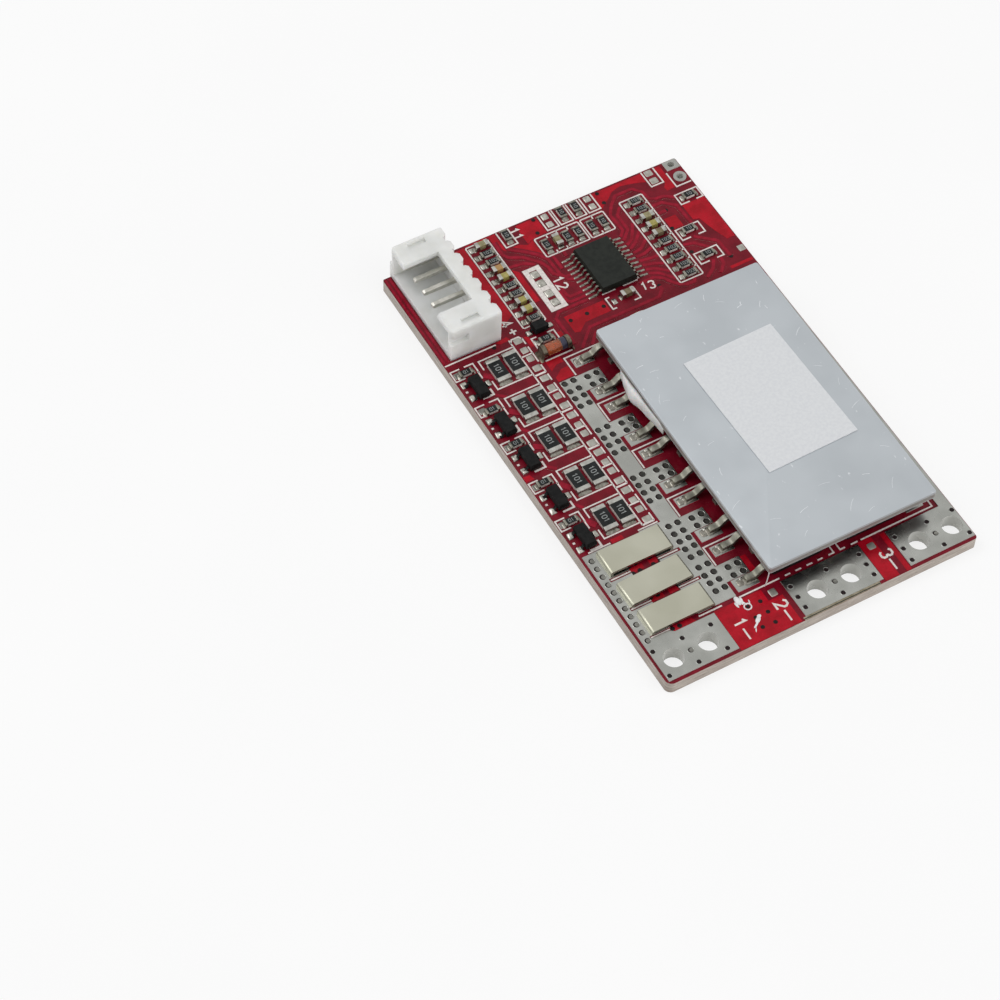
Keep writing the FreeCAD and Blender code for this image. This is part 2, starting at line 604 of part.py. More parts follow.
def socket_housing():
    """Moulded header: open mouth, window in the top, side notches, slots and rear grooves."""
    floor = TOP
    ceiling = TOP + SOCKET_HEIGHT
    notch_low = TOP + SIDE_NOTCH_BOTTOM
    notch_high = notch_low + SIDE_NOTCH_HEIGHT
    notch_end = SOCKET_START + SIDE_NOTCH_LENGTH
    upper = box(SOCKET_START, SOCKET_REAR, SOCKET_FRONT, SOCKET_BACK, notch_high, ceiling)
    arms = []
    for edge in upper.Edges:
        upright = abs(edge.tangentAt(edge.FirstParameter).z) > 0.99
        if upright and edge.CenterOfMass.x < SOCKET_START + 0.01:
            arms.append(edge)
    upper = upper.makeFillet(SOCKET_ARM_CORNER, arms)
    rim = []
    for edge in upper.Edges:
        on_top = min(v.Z for v in edge.Vertexes) > ceiling - 0.01
        if on_top and edge.CenterOfMass.x < SOCKET_REAR - 0.01:
            rim.append(edge)
    upper = upper.makeFillet(SOCKET_CORNER, rim)
    near = SOCKET_FRONT + SIDE_NOTCH_DEPTH
    far = SOCKET_BACK - SIDE_NOTCH_DEPTH
    shell = fuse(
        [
            upper,
            box(SOCKET_START, SOCKET_REAR, near, far, notch_low, notch_high),
            box(notch_end, SOCKET_REAR, SOCKET_FRONT, SOCKET_BACK, notch_low, notch_high),
            box(SOCKET_START, SOCKET_REAR, SOCKET_FRONT, SOCKET_BACK, floor, notch_low),
        ]
    )
    inner_back = SOCKET_REAR - SOCKET_BACK_WALL
    inner_front = SOCKET_FRONT + SOCKET_WALL
    inner_far = SOCKET_BACK - SOCKET_WALL
    window_front = SOCKET_FRONT + SOCKET_WINDOW_MARGIN
    window_back = SOCKET_BACK - SOCKET_WINDOW_MARGIN
    cuts = [
        box(SOCKET_START, inner_back, inner_front, inner_far, floor + SOCKET_WALL, ceiling - SOCKET_WALL),
        box(
            SOCKET_START,
            SOCKET_START + SOCKET_WINDOW_DEPTH,
            window_front,
            window_back,
            ceiling - SOCKET_WALL,
            ceiling,
        ),
    ]
    slot_start = SOCKET_START + TOP_SLOT_FROM_MOUTH
    for y in (SOCKET_FRONT + TOP_SLOT_INSET, SOCKET_BACK - TOP_SLOT_INSET - TOP_SLOT_WIDTH):
        slot_end = slot_start + TOP_SLOT_LENGTH
        cuts.append(box(slot_start, slot_end, y, y + TOP_SLOT_WIDTH, ceiling - TOP_SLOT_DEPTH, ceiling))
    half_groove = REAR_GROOVE_WIDTH / 2
    half_pin = PIN_SIZE / 2
    for y in pole_rows():
        groove = [
            (SOCKET_REAR - REAR_GROOVE_DEPTH, y - half_groove),
            (SOCKET_REAR - REAR_GROOVE_FLARE, y - half_groove),
            (SOCKET_REAR, y - half_groove - REAR_GROOVE_FLARE),
            (SOCKET_REAR, y + half_groove + REAR_GROOVE_FLARE),
            (SOCKET_REAR - REAR_GROOVE_FLARE, y + half_groove),
            (SOCKET_REAR - REAR_GROOVE_DEPTH, y + half_groove),
        ]
        cuts.append(prism_along_z(groove, floor, ceiling))
        z = TOP + PIN_HEIGHT
        cuts.append(box(inner_back, SOCKET_REAR, y - half_pin, y + half_pin, z - half_pin, z + half_pin))
    return shell.cut(Part.makeCompound(cuts))


def socket_pin(y):
    """Square pin: a tapered tip in the mouth, a right-angle bend behind the housing."""
    half = PIN_SIZE / 2
    tip = SOCKET_START + PIN_TIP_FROM_MOUTH
    z = TOP + PIN_HEIGHT
    outline = [
        (tip, z - half + PIN_TIP_TAPER),
        (tip + 2 * PIN_TIP_TAPER, z - half),
        (PIN_LEG_X - half, z - half),
        (PIN_LEG_X - half, 0),
        (PIN_LEG_X + half, 0),
        (PIN_LEG_X + half, z),
        (PIN_LEG_X, z + half),
        (tip + 2 * PIN_TIP_TAPER, z + half),
        (tip, z + half - PIN_TIP_TAPER),
    ]
    return prism_along_y(outline, y - half, y + half)


def controller_body():
    low = CHIP_STANDOFF
    high = CHIP_STANDOFF + CHIP_THICKNESS
    middle = (low + high) / 2
    band = (middle - CHIP_LEAD_THICKNESS / 2, middle + CHIP_LEAD_THICKNESS / 2)
    body = drafted_body(CHIP_WIDTH, CHIP_LENGTH, low, high, band, CHIP_DRAFT)
    return moved(body, CHIP_X, CHIP_Y, TOP)


def controller_leads():
    """Both rows of leads, leaving the body at its parting line."""
    height = CHIP_STANDOFF + CHIP_THICKNESS / 2 - CHIP_LEAD_THICKNESS / 2
    lead = gull_wing(
        CHIP_LEAD_REACH,
        CHIP_LEAD_FOOT,
        CHIP_LEAD_SHOULDER,
        height,
        CHIP_LEAD_THICKNESS,
        CHIP_LEAD_WIDTH,
    )
    first = CHIP_Y - CHIP_LEAD_PITCH * (CHIP_LEADS_PER_SIDE - 1) / 2
    leads = []
    for i in range(CHIP_LEADS_PER_SIDE):
        y = first + CHIP_LEAD_PITCH * i
        for side in (-1, 1):
            leads.append(moved(lead, CHIP_X + side * CHIP_WIDTH / 2, y, TOP, facing(side)))
    return leads


def small_transistor(x, y):
    """Three-lead package: two leads to the left and one to the right."""
    low = SMALL_BODY_STANDOFF
    high = low + SMALL_BODY_HEIGHT
    band = (SMALL_LEAD_HEIGHT, SMALL_LEAD_HEIGHT + SMALL_LEAD_THICKNESS)
    body = drafted_body(SMALL_BODY_WIDTH, SMALL_BODY_LENGTH, low, high, band, SMALL_BODY_DRAFT)
    lead = gull_wing(
        SMALL_LEAD_REACH,
        SMALL_LEAD_FOOT,
        SMALL_LEAD_SHOULDER,
        SMALL_LEAD_HEIGHT,
        SMALL_LEAD_THICKNESS,
        SMALL_LEAD_WIDTH,
    )
    half = SMALL_BODY_WIDTH / 2
    places = [(-1, -SMALL_LEAD_PITCH / 2), (-1, SMALL_LEAD_PITCH / 2), (1, 0)]
    leads = [moved(lead, x + side * half, y + dy, TOP, facing(side)) for side, dy in places]
    return [moved(body, x, y, TOP)] + leads


def chip_part(x, y, length, width, height, cap, upright=False):
    """Chip resistor or capacitor: a body between two end caps that stand a little proud."""
    half = length / 2
    core = box(-half + cap, half - cap, -width / 2 + CAP_STEP, width / 2 - CAP_STEP, 0, height - CAP_STEP)
    ends = [
        box(-half, -half + cap, -width / 2, width / 2, 0, height),
        box(half - cap, half, -width / 2, width / 2, 0, height),
    ]
    return moved(fuse([core] + ends), x, y, TOP, 90.0 if upright else 0.0)


def small_chip(x, y, kind="r", upright=False):
    height = CAPACITOR_HEIGHT if kind == "c" else SMALL_CHIP_HEIGHT
    return chip_part(x, y, SMALL_CHIP_LENGTH, SMALL_CHIP_WIDTH, height, SMALL_CHIP_CAP, upright)


def chip_column(x, from_back, pitch, kinds, wanted):
    """The chips of one kind in a column, counted from the back edge."""
    first = BOARD_LENGTH - from_back
    return [small_chip(x, first - pitch * i, k) for i, k in enumerate(kinds) if k == wanted]


def socket_column(wanted):
    return chip_column(
        SOCKET_COLUMN_X,
        SOCKET_COLUMN_FROM_BACK,
        SOCKET_COLUMN_PITCH,
        SOCKET_COLUMN_KINDS,
        wanted,
    )


def right_column(wanted):
    return chip_column(
        BOARD_WIDTH - RIGHT_COLUMN_FROM_RIGHT,
        RIGHT_COLUMN_FROM_BACK,
        RIGHT_COLUMN_PITCH,
        RIGHT_COLUMN_KINDS,
        wanted,
    )


def chip_row(wanted):
    """The upright chips of one kind behind the controller."""
    y = BOARD_LENGTH - CHIP_ROW_FROM_BACK
    return [small_chip(CHIP_X + dx, y, kind, True) for dx, kind in CHIP_ROW if kind == wanted]


def edge_resistors():
    """The first stands beside the socket's column, the others behind the controller."""
    y = BOARD_LENGTH - EDGE_ROW_FROM_BACK
    places = [SOCKET_COLUMN_X + EDGE_CHIP_BESIDE_COLUMN] + [CHIP_X + dx for dx in EDGE_ROW]
    return [small_chip(x, y, "r", True) for x in places]


def single_resistors():
    """The link beside the glass diode and those near the right edge."""
    places = [(BOARD_WIDTH - right, BOARD_LENGTH - back) for right, back in RIGHT_RESISTORS]
    places.append((LINK_X, BOARD_LENGTH - LINK_FROM_BACK))
    return [small_chip(x, y) for x, y in places]


def clamp_diode():
    low = SMALL_BODY_STANDOFF
    high = low + CLAMP_BODY_HEIGHT
    band = (SMALL_LEAD_HEIGHT, SMALL_LEAD_HEIGHT + SMALL_LEAD_THICKNESS)
    body = drafted_body(CLAMP_BODY_LENGTH, CLAMP_BODY_WIDTH, low, high, band, SMALL_BODY_DRAFT)
    lead = gull_wing(
        CLAMP_LEAD_REACH,
        SMALL_LEAD_FOOT,
        SMALL_LEAD_SHOULDER,
        SMALL_LEAD_HEIGHT,
        SMALL_LEAD_THICKNESS,
        CLAMP_LEAD_WIDTH,
    )
    half = CLAMP_BODY_LENGTH / 2
    y = BOARD_LENGTH - CLAMP_FROM_BACK
    leads = [moved(lead, CLAMP_X + side * half, y, TOP, facing(side)) for side in (-1, 1)]
    return [moved(body, CLAMP_X, y, TOP)] + leads


def glass_diode_tube():
    start = GLASS_X - GLASS_LENGTH / 2 + GLASS_CAP_LENGTH
    length = GLASS_LENGTH - 2 * GLASS_CAP_LENGTH
    centre = FreeCAD.Vector(start, BOARD_LENGTH - GLASS_FROM_BACK, TOP + GLASS_CAP_RADIUS)
    return Part.makeCylinder(GLASS_RADIUS, length, centre, FreeCAD.Vector(1, 0, 0))


def glass_diode_caps():
    axis = FreeCAD.Vector(1, 0, 0)
    z = TOP + GLASS_CAP_RADIUS
    left = GLASS_X - GLASS_LENGTH / 2
    right = GLASS_X + GLASS_LENGTH / 2 - GLASS_CAP_LENGTH
    y = BOARD_LENGTH - GLASS_FROM_BACK
    starts = [FreeCAD.Vector(left, y, z), FreeCAD.Vector(right, y, z)]
    return [Part.makeCylinder(GLASS_CAP_RADIUS, GLASS_CAP_LENGTH, start, axis) for start in starts]


def sensor_pads():
    """Plated pads for a probe: the first is square, the second round."""
    (x, square_y), (_, round_y) = sensor_holes()
    half = SENSOR_SQUARE_WIDTH / 2
    back = BOARD_LENGTH - SENSOR_SQUARE_MARGIN
    faces = [
        box(x - half, x + half, back - SENSOR_SQUARE_LENGTH, back, TOP, PAD_TOP),
        upright_cylinder(x, round_y, TOP, PAD_TOP, SENSOR_ROUND_PAD_RADIUS),
    ]
    pads = []
    for face, y in zip(faces, (square_y, round_y)):
        barrel = upright_cylinder(x, y, 0, TOP, SENSOR_HOLE_RADIUS + PLATING)
        bore = upright_cylinder(x, y, 0, PAD_TOP, SENSOR_HOLE_RADIUS)
        pads.append(fuse([face, barrel]).cut(bore))
    return pads


def build():
    os.makedirs("parts", exist_ok=True)
    holes = lead_holes()
    save("circuit_board", circuit_board())
    save("pack_minus_pad", pack_pad(holes["pack"]))
    save("load_minus_pad", load_pad(holes["load"]))
    save("charge_minus_pad", charge_pad(holes["charge"]))
    save("current_bus", current_bus())
    save("lead_pads", lead_pads())
    save("drain_pads", drain_pads())
    save("sensor_pads", sensor_pads())

    bridge = shunt()
    for i, ((x, y), turn) in enumerate(zip(SHUNT_CENTRES, SHUNT_TURNS), start=1):
        save("shunt_%d" % i, moved(bridge, x, y, PAD_TOP, turn))

    body = mosfet_body()
    leadframe = mosfet_leadframe()
    number = 0
    for side in (-1, 1):
        for y in transistor_rows():
            number += 1
            place = (body_face(side), y, PAD_TOP, facing(side))
            save("mosfet_body_%d" % number, moved(body, *place))
            save("mosfet_leads_%d" % number, [moved(piece, *place) for piece in leadframe])

    save("heat_plate", heat_plate())
    save("silicone_glue", glue())
    save("label", label())

    save("socket_housing", socket_housing())
    save("socket_pins", [socket_pin(y) for y in pole_rows()])

    save("controller_body", controller_body())
    save("controller_leads", controller_leads())

    for i, y in enumerate(bleed_rows(), start=1):
        pair = []
        for x in (BLEED_X, BLEED_X + BLEED_SPACING):
            pair.append(chip_part(x, y, BLEED_LENGTH, BLEED_WIDTH, BLEED_HEIGHT, BLEED_CAP, True))
        save("bleed_resistors_%d" % i, pair)
        save("bleed_transistor_%d" % i, small_transistor(SMALL_TRANSISTOR_X, y - SMALL_TRANSISTOR_BELOW))
    save("gate_resistors", [small_chip(GATE_RESISTOR_X, y + GATE_RESISTOR_ABOVE) for y in bleed_rows()])

    save("socket_column_resistors", socket_column("r"))
    save("right_column_resistors", right_column("r"))
    save("row_resistors", chip_row("r"))
    lone_capacitor = small_chip(CHIP_X + CAPACITOR_RIGHT_OF_CHIP, CHIP_Y - CAPACITOR_FRONT_OF_CHIP, "c")
    save("small_capacitors", socket_column("c") + right_column("c") + chip_row("c") + [lone_capacitor])
    save("edge_resistors", edge_resistors())
    save("single_resistors", single_resistors())
    save("clamp_diode", clamp_diode())
    save("glass_diode_tube", glass_diode_tube())
    save("glass_diode_caps", glass_diode_caps())


build()
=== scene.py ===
import math

import bmesh
import bpy
from mathutils import Matrix, Vector, noise


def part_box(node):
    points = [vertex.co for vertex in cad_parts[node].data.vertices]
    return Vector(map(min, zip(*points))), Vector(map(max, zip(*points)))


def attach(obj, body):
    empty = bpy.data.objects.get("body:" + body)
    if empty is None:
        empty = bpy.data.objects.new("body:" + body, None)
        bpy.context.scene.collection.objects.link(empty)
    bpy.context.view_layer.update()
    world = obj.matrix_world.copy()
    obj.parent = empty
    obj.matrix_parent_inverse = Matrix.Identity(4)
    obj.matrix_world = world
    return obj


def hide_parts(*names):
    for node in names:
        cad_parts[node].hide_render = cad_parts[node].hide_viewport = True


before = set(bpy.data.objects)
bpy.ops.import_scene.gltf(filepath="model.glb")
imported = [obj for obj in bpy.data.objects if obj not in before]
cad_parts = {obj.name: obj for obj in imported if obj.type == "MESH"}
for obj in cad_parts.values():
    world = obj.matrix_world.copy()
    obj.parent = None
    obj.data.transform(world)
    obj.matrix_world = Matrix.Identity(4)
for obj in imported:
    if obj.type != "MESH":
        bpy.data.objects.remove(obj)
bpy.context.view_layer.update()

# Lengths below are board millimetres, measured from the front left corner of the underside.
# The print and the copper are laid out on a plan whose step is a little under a millimetre.
MM = 0.001
PLAN = 0.98
CORNER, BOARD_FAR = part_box("circuit_board")
BOARD_WIDTH, _, TOP = (BOARD_FAR - CORNER) / MM
PAD_TOP = (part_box("load_minus_pad")[1].z - CORNER.z) / MM

# Camera of the photograph
CAMERA_PLACE = (-0.119377, -0.16063, 0.259621)
CAMERA_AZIMUTH = 31.502
CAMERA_ELEVATION = 54.222
CAMERA_ROLL = 2.217
CAMERA_LENS = 110.06
SENSOR = 36.0

# Thin layers: each begins a little inside what it lies on
SINK = 0.005
ROOT = TOP - SINK
POUR_TOP = TOP + 0.02
TRACE_TOP = TOP + 0.045
PRINT_HEIGHT = 0.055
RING_HEIGHT = 0.03
# Flat layers that cross differ by this much, so that no two faces coincide
LAYER_STEP = 0.0005

# Widths on the board
PRINT_WIDTH = 0.16
HEAVY_PRINT_WIDTH = 0.22
BOX_PRINT_WIDTH = 0.58
TRACE_WIDTH = 0.36
TRACE_GAP = 0.2
WIDE_TRACE_WIDTH = 0.7
VIA_RADIUS = 0.25
BUS_VIA_RADIUS = 0.35


def make_camera():
    camera = bpy.data.objects.new("camera", bpy.data.cameras.new("camera"))
    bpy.context.scene.collection.objects.link(camera)
    camera.data.lens = CAMERA_LENS
    camera.data.sensor_width = SENSOR
    camera.data.clip_start = 0.01
    azimuth = math.radians(CAMERA_AZIMUTH)
    elevation = math.radians(CAMERA_ELEVATION)
    level = math.cos(elevation)
    forward = Vector((level * math.sin(azimuth), level * math.cos(azimuth), -math.sin(elevation)))
    right = forward.cross(Vector((0, 0, 1))).normalized()
    right.rotate(Matrix.Rotation(-math.radians(CAMERA_ROLL), 3, forward))
    up = right.cross(forward)
    turn = Matrix((right, up, -forward)).transposed()
    camera.matrix_world = Matrix.Translation(CAMERA_PLACE) @ turn.to_4x4()
    bpy.context.scene.camera = camera


make_camera()


# Materials, kept by name
skins = {}
WALL_LIMIT = 0.5


def feed(node, values):
    """Store plain values on a node's sockets and link what comes from other nodes."""
    for key, value in values.items():
        if isinstance(value, bpy.types.NodeSocket):
            node.id_data.links.new(value, node.inputs[key])
        else:
            node.inputs[key].default_value = value


def add(tree, kind, values, output=0, **settings):
    """Add a shader node and give the output that is asked for."""
    made = tree.nodes.new("ShaderNode" + kind)
    for name, value in settings.items():
        setattr(made, name, value)
    feed(made, values)
    return made.outputs[output]


def maths(tree, operation, *values):
    return add(tree, "Math", dict(enumerate(values)), operation=operation)


def direct_share(tree):
    """1 for rays that show a thing itself: straight, mirrored or through glass."""
    rays = tree.nodes.new("ShaderNodeLightPath").outputs
    shown = maths(tree, "MAXIMUM", rays["Is Camera Ray"], rays["Is Glossy Ray"])
    return maths(tree, "MAXIMUM", shown, rays["Is Transmission Ray"])


def srgb(red, green, blue):
    """Linear colour from the 0 to 255 values of a picture."""
    values = []
    for part in (red, green, blue):
        part /= 255
        values.append(part / 12.92 if part <= 0.04045 else ((part + 0.055) / 1.055) ** 2.4)
    return (*values, 1.0)


class Surface:
    """A principled material whose colour, roughness and relief drift over noise."""

    def __init__(self, name, dark, light, grain, rough, relief=0.0, relief_grain=0.2, metallic=0.0):
        self.material = bpy.data.materials.new(name)
        self.material.use_nodes = True
        self.tree = self.material.node_tree
        self.shader = self.tree.nodes["Principled BSDF"]
        self.place = add(self.tree, "TexCoord", {}, "Object")
        self.colour = self.ramp(self.noise(grain), dark, light)
        drift = {"Value": self.noise(grain * 0.6, 3.0), "From Min": 0.3, "From Max": 0.7}
        roughness = add(self.tree, "MapRange", {**drift, "To Min": rough[0], "To Max": rough[1]})
        self.set({"Metallic": metallic, "Base Color": self.colour, "Roughness": roughness})
        if relief:
            self.bump(self.noise(relief_grain, 4.0), relief)
        skins[name] = self

    def set(self, values):
        feed(self.shader, values)

    def noise(self, grain, detail=2.0, scale=None, heading=0):
        """Noise whose features are about `grain` millimetres across."""
        place = self.place
        if scale:
            turn = (0, 0, math.radians(heading))
            place = add(self.tree, "Mapping", {"Vector": place, "Rotation": turn, "Scale": scale})
        values = {"Vector": place, "Scale": 1 / (grain * MM), "Detail": detail}
        return add(self.tree, "TexNoise", values, "Fac")

    def ramp(self, value, dark, light, low=0.35, high=0.65):
        made = self.tree.nodes.new("ShaderNodeValToRGB")
        for element, position, colour in zip(made.color_ramp.elements, (low, high), (dark, light)):
            element.position = position
            element.color = srgb(*colour)
        feed(made, {"Fac": value})
        return made.outputs["Color"]

    def bump(self, value, depth):
        """Relief `depth` millimetres deep, on top of any relief set before."""
        values = {"Distance": depth * MM, "Height": value}
        normal = self.shader.inputs["Normal"]
        if normal.is_linked:
            values["Normal"] = normal.links[0].from_socket
        self.set({"Normal": add(self.tree, "Bump", values)})

    def mix(self, share, first, second):
        """Colour that goes from first to second as share goes from 0 to 1."""
        values = {"Factor": share, "A": first, "B": second}
        return add(self.tree, "Mix", values, "Result", data_type="RGBA")

    def walls(self, level, upright, metallic=None):
        """Another colour, and less of a mirror, on walls and cut edges than on level faces."""
        normal = add(self.tree, "NewGeometry", {}, "Normal")
        height = add(self.tree, "SeparateXYZ", {"Vector": normal}, "Z")
        wall = maths(self.tree, "LESS_THAN", maths(self.tree, "ABSOLUTE", height), WALL_LIMIT)
        self.set({"Base Color": self.mix(wall, level, upright)})
        if metallic is not None:
            values = {"Value": wall, "To Min": 1.0, "To Max": metallic}
            self.set({"Metallic": add(self.tree, "MapRange", values)})


def board_surface():
    """Dark red lacquer on top and below, layered fibre on the cut edges."""
    made = Surface("red_lacquer", (100, 10, 26), (120, 16, 34), 1.6, (0.22, 0.34), 0.006)
    fibre = made.ramp(made.noise(0.35, 3.0, (0.15, 0.15, 2.2)), (150, 138, 128), (186, 176, 166))
    made.walls(made.colour, fibre)


def plate_surface():
    """Rolled aluminium: even colour, faint lengthwise grain and small pale specks."""
    made = Surface("bare_aluminium", (176, 181, 185), (183, 188, 192), 6.0, (0.34, 0.4), metallic=1.0)
    specks = made.ramp(made.noise(0.5, 3.0, (1.0, 0.45, 1.0), 30), (0, 0, 0), (255, 255, 255), 0.7, 0.76)
    # Upright walls: duller sheared metal, with a brown-grey that is painted reflection of the red board
    made.walls(made.mix(specks, made.colour, srgb(208, 211, 214)), srgb(150, 144, 140), 0.35)
    made.bump(made.noise(0.3, 3.0, (1.0, 0.08, 1.0), 3), 0.0025)


def tin_surface():
    """Hot tin: smooth mirror-like faces; upright walls and pad edges get painted light, a paler and less
    mirror-like colour, so that hole walls look lit.
    """
    made = Surface("hot_tin", (152, 153, 148), (168, 169, 164), 2.6, (0.22, 0.3), 0.02, 2.6, 1.0)
    # Painted light: hole walls and pad edges paler than the level tin
    made.walls(made.colour, srgb(196, 196, 190), 0.2)


# Name, dark and light colour, grain, roughness, depth of the relief and its grain, metallic share
PLAIN_SURFACES = (
    ("red_over_copper", (150, 9, 26), (174, 14, 34), 1.1, (0.2, 0.32), 0.006),
    ("red_over_traces", (130, 12, 34), (152, 18, 44), 0.8, (0.2, 0.32), 0.006),
    ("print_white", (206, 199, 195), (228, 221, 216), 0.25, (0.5, 0.65), 0.006),
    ("pad_tin", (150, 147, 139), (170, 168, 161), 0.5, (0.4, 0.5), 0.003, 0.3, 0.85),
    ("solder", (146, 144, 136), (182, 180, 172), 0.4, (0.2, 0.34), 0.009, 0.4, 1.0),
    ("dull_solder", (112, 108, 100), (150, 147, 138), 0.35, (0.2, 0.34), 0.008, 0.4, 1.0),
    ("lead_tin", (112, 111, 101), (136, 135, 125), 0.7, (0.4, 0.52), 0.005, 0.3, 1.0),
    ("shunt_alloy", (168, 167, 151), (178, 177, 162), 5.0, (0.32, 0.4), 0.002, 0.6, 1.0),
    ("black_epoxy", (10, 11, 11), (24, 24, 24), 0.5, (0.42, 0.58), 0.006, 0.12),
    ("grey_epoxy", (24, 27, 24), (34, 37, 33), 0.6, (0.42, 0.58), 0.006, 0.12),
    ("bright_scratch", (206, 209, 212), (228, 231, 234), 0.3, (0.4, 0.55), 0.0, 0.2, 0.3),
    ("white_silicone", (214, 214, 213), (230, 230, 229), 0.8, (0.35, 0.5), 0.02, 0.6),
    ("silicone_smear", (206, 208, 208), (230, 231, 231), 0.4, (0.4, 0.55), 0.01, 0.3),
    ("label_paper", (211, 213, 216), (217, 219, 221), 0.35, (0.7, 0.85), 0.003, 0.15),
    ("white_nylon", (216, 217, 213), (228, 229, 226), 2.4, (0.4, 0.5), 0.004, 0.4),
    ("pin_tin", (176, 174, 165), (200, 198, 190), 0.8, (0.3, 0.42), 0.003, 0.4, 0.6),
    ("white_ceramic", (196, 193, 186), (220, 217, 211), 0.3, (0.5, 0.65), 0.006, 0.1),
    ("black_glaze", (10, 13, 13), (20, 24, 24), 0.4, (0.26, 0.38), 0.004),
    ("cap_tin", (152, 151, 145), (182, 182, 176), 0.6, (0.24, 0.34), 0.003, 0.3, 1.0),
    ("dark_cap_tin", (112, 110, 100), (146, 144, 134), 0.5, (0.28, 0.4), 0.004, 0.3, 1.0),
    ("mark_grey", (126, 130, 129), (148, 152, 151), 0.2, (0.5, 0.6), 0.003),
    ("olive_body", (120, 114, 82), (144, 138, 102), 0.3, (0.45, 0.6), 0.008, 0.1),
    ("yellow_body", (138, 130, 66), (162, 152, 88), 0.3, (0.45, 0.6), 0.008, 0.1),
    ("orange_body", (150, 114, 66), (174, 136, 86), 0.3, (0.45, 0.6), 0.008, 0.1),
    ("brown_body", (96, 86, 62), (120, 108, 82), 0.3, (0.45, 0.6), 0.008, 0.1),
    # Painted shade: the dark inside of small holes, and a paler shade inside the bus holes
    ("hole_dark", (20, 13, 14), (38, 27, 28), 0.3, (0.4, 0.6), 0.006),
    ("hole_shade", (34, 34, 31), (58, 57, 52), 0.3, (0.35, 0.5), 0.006),
    ("hole_grey", (104, 104, 98), (134, 133, 126), 0.4, (0.25, 0.4), 0.008, 0.3, 0.6),
    ("bare_fibre", (120, 112, 88), (158, 148, 128), 0.5, (0.6, 0.75), 0.01, 0.15),
    ("amber_glass", (206, 118, 66), (224, 138, 82), 0.5, (0.05, 0.1)),
    ("amber_core", (158, 62, 28), (192, 86, 42), 0.4, (0.3, 0.4), 0.006),
    ("band_dark", (30, 30, 48), (44, 44, 66), 0.3, (0.3, 0.4), 0.006),
    ("diode_cap", (88, 80, 68), (122, 114, 100), 0.4, (0.26, 0.4), 0.01, 0.3, 1.0),
    ("pale_floor", (236, 236, 236), (240, 240, 240), 30.0, (0.8, 0.9), 0.01, 1.0),
)
board_surface()
plate_surface()
tin_surface()
for values in PLAIN_SURFACES:
    Surface(*values)
LACQUER_GLOSS = 0.16
GLOSS = {
    "red_lacquer": LACQUER_GLOSS, "red_over_copper": LACQUER_GLOSS, "red_over_traces": LACQUER_GLOSS,
    "black_epoxy": 0.12, "grey_epoxy": 0.16, "black_glaze": 0.22, "hole_dark": 0.15, "hole_shade": 0.25,
    "white_nylon": 0.3,
}
for name, level in GLOSS.items():
    skins[name].set({"Specular IOR Level": level})
skins["white_silicone"].set({"Subsurface Weight": 0.15, "Subsurface Scale": 0.6 * MM})
skins["white_nylon"].set({"Subsurface Weight": 0.8, "Subsurface Scale": 2.4 * MM})
skins["white_nylon"].set({"Subsurface Radius": (1.0, 0.96, 0.88)})
skins["amber_glass"].set({"Transmission Weight": 0.75, "IOR": 1.5})


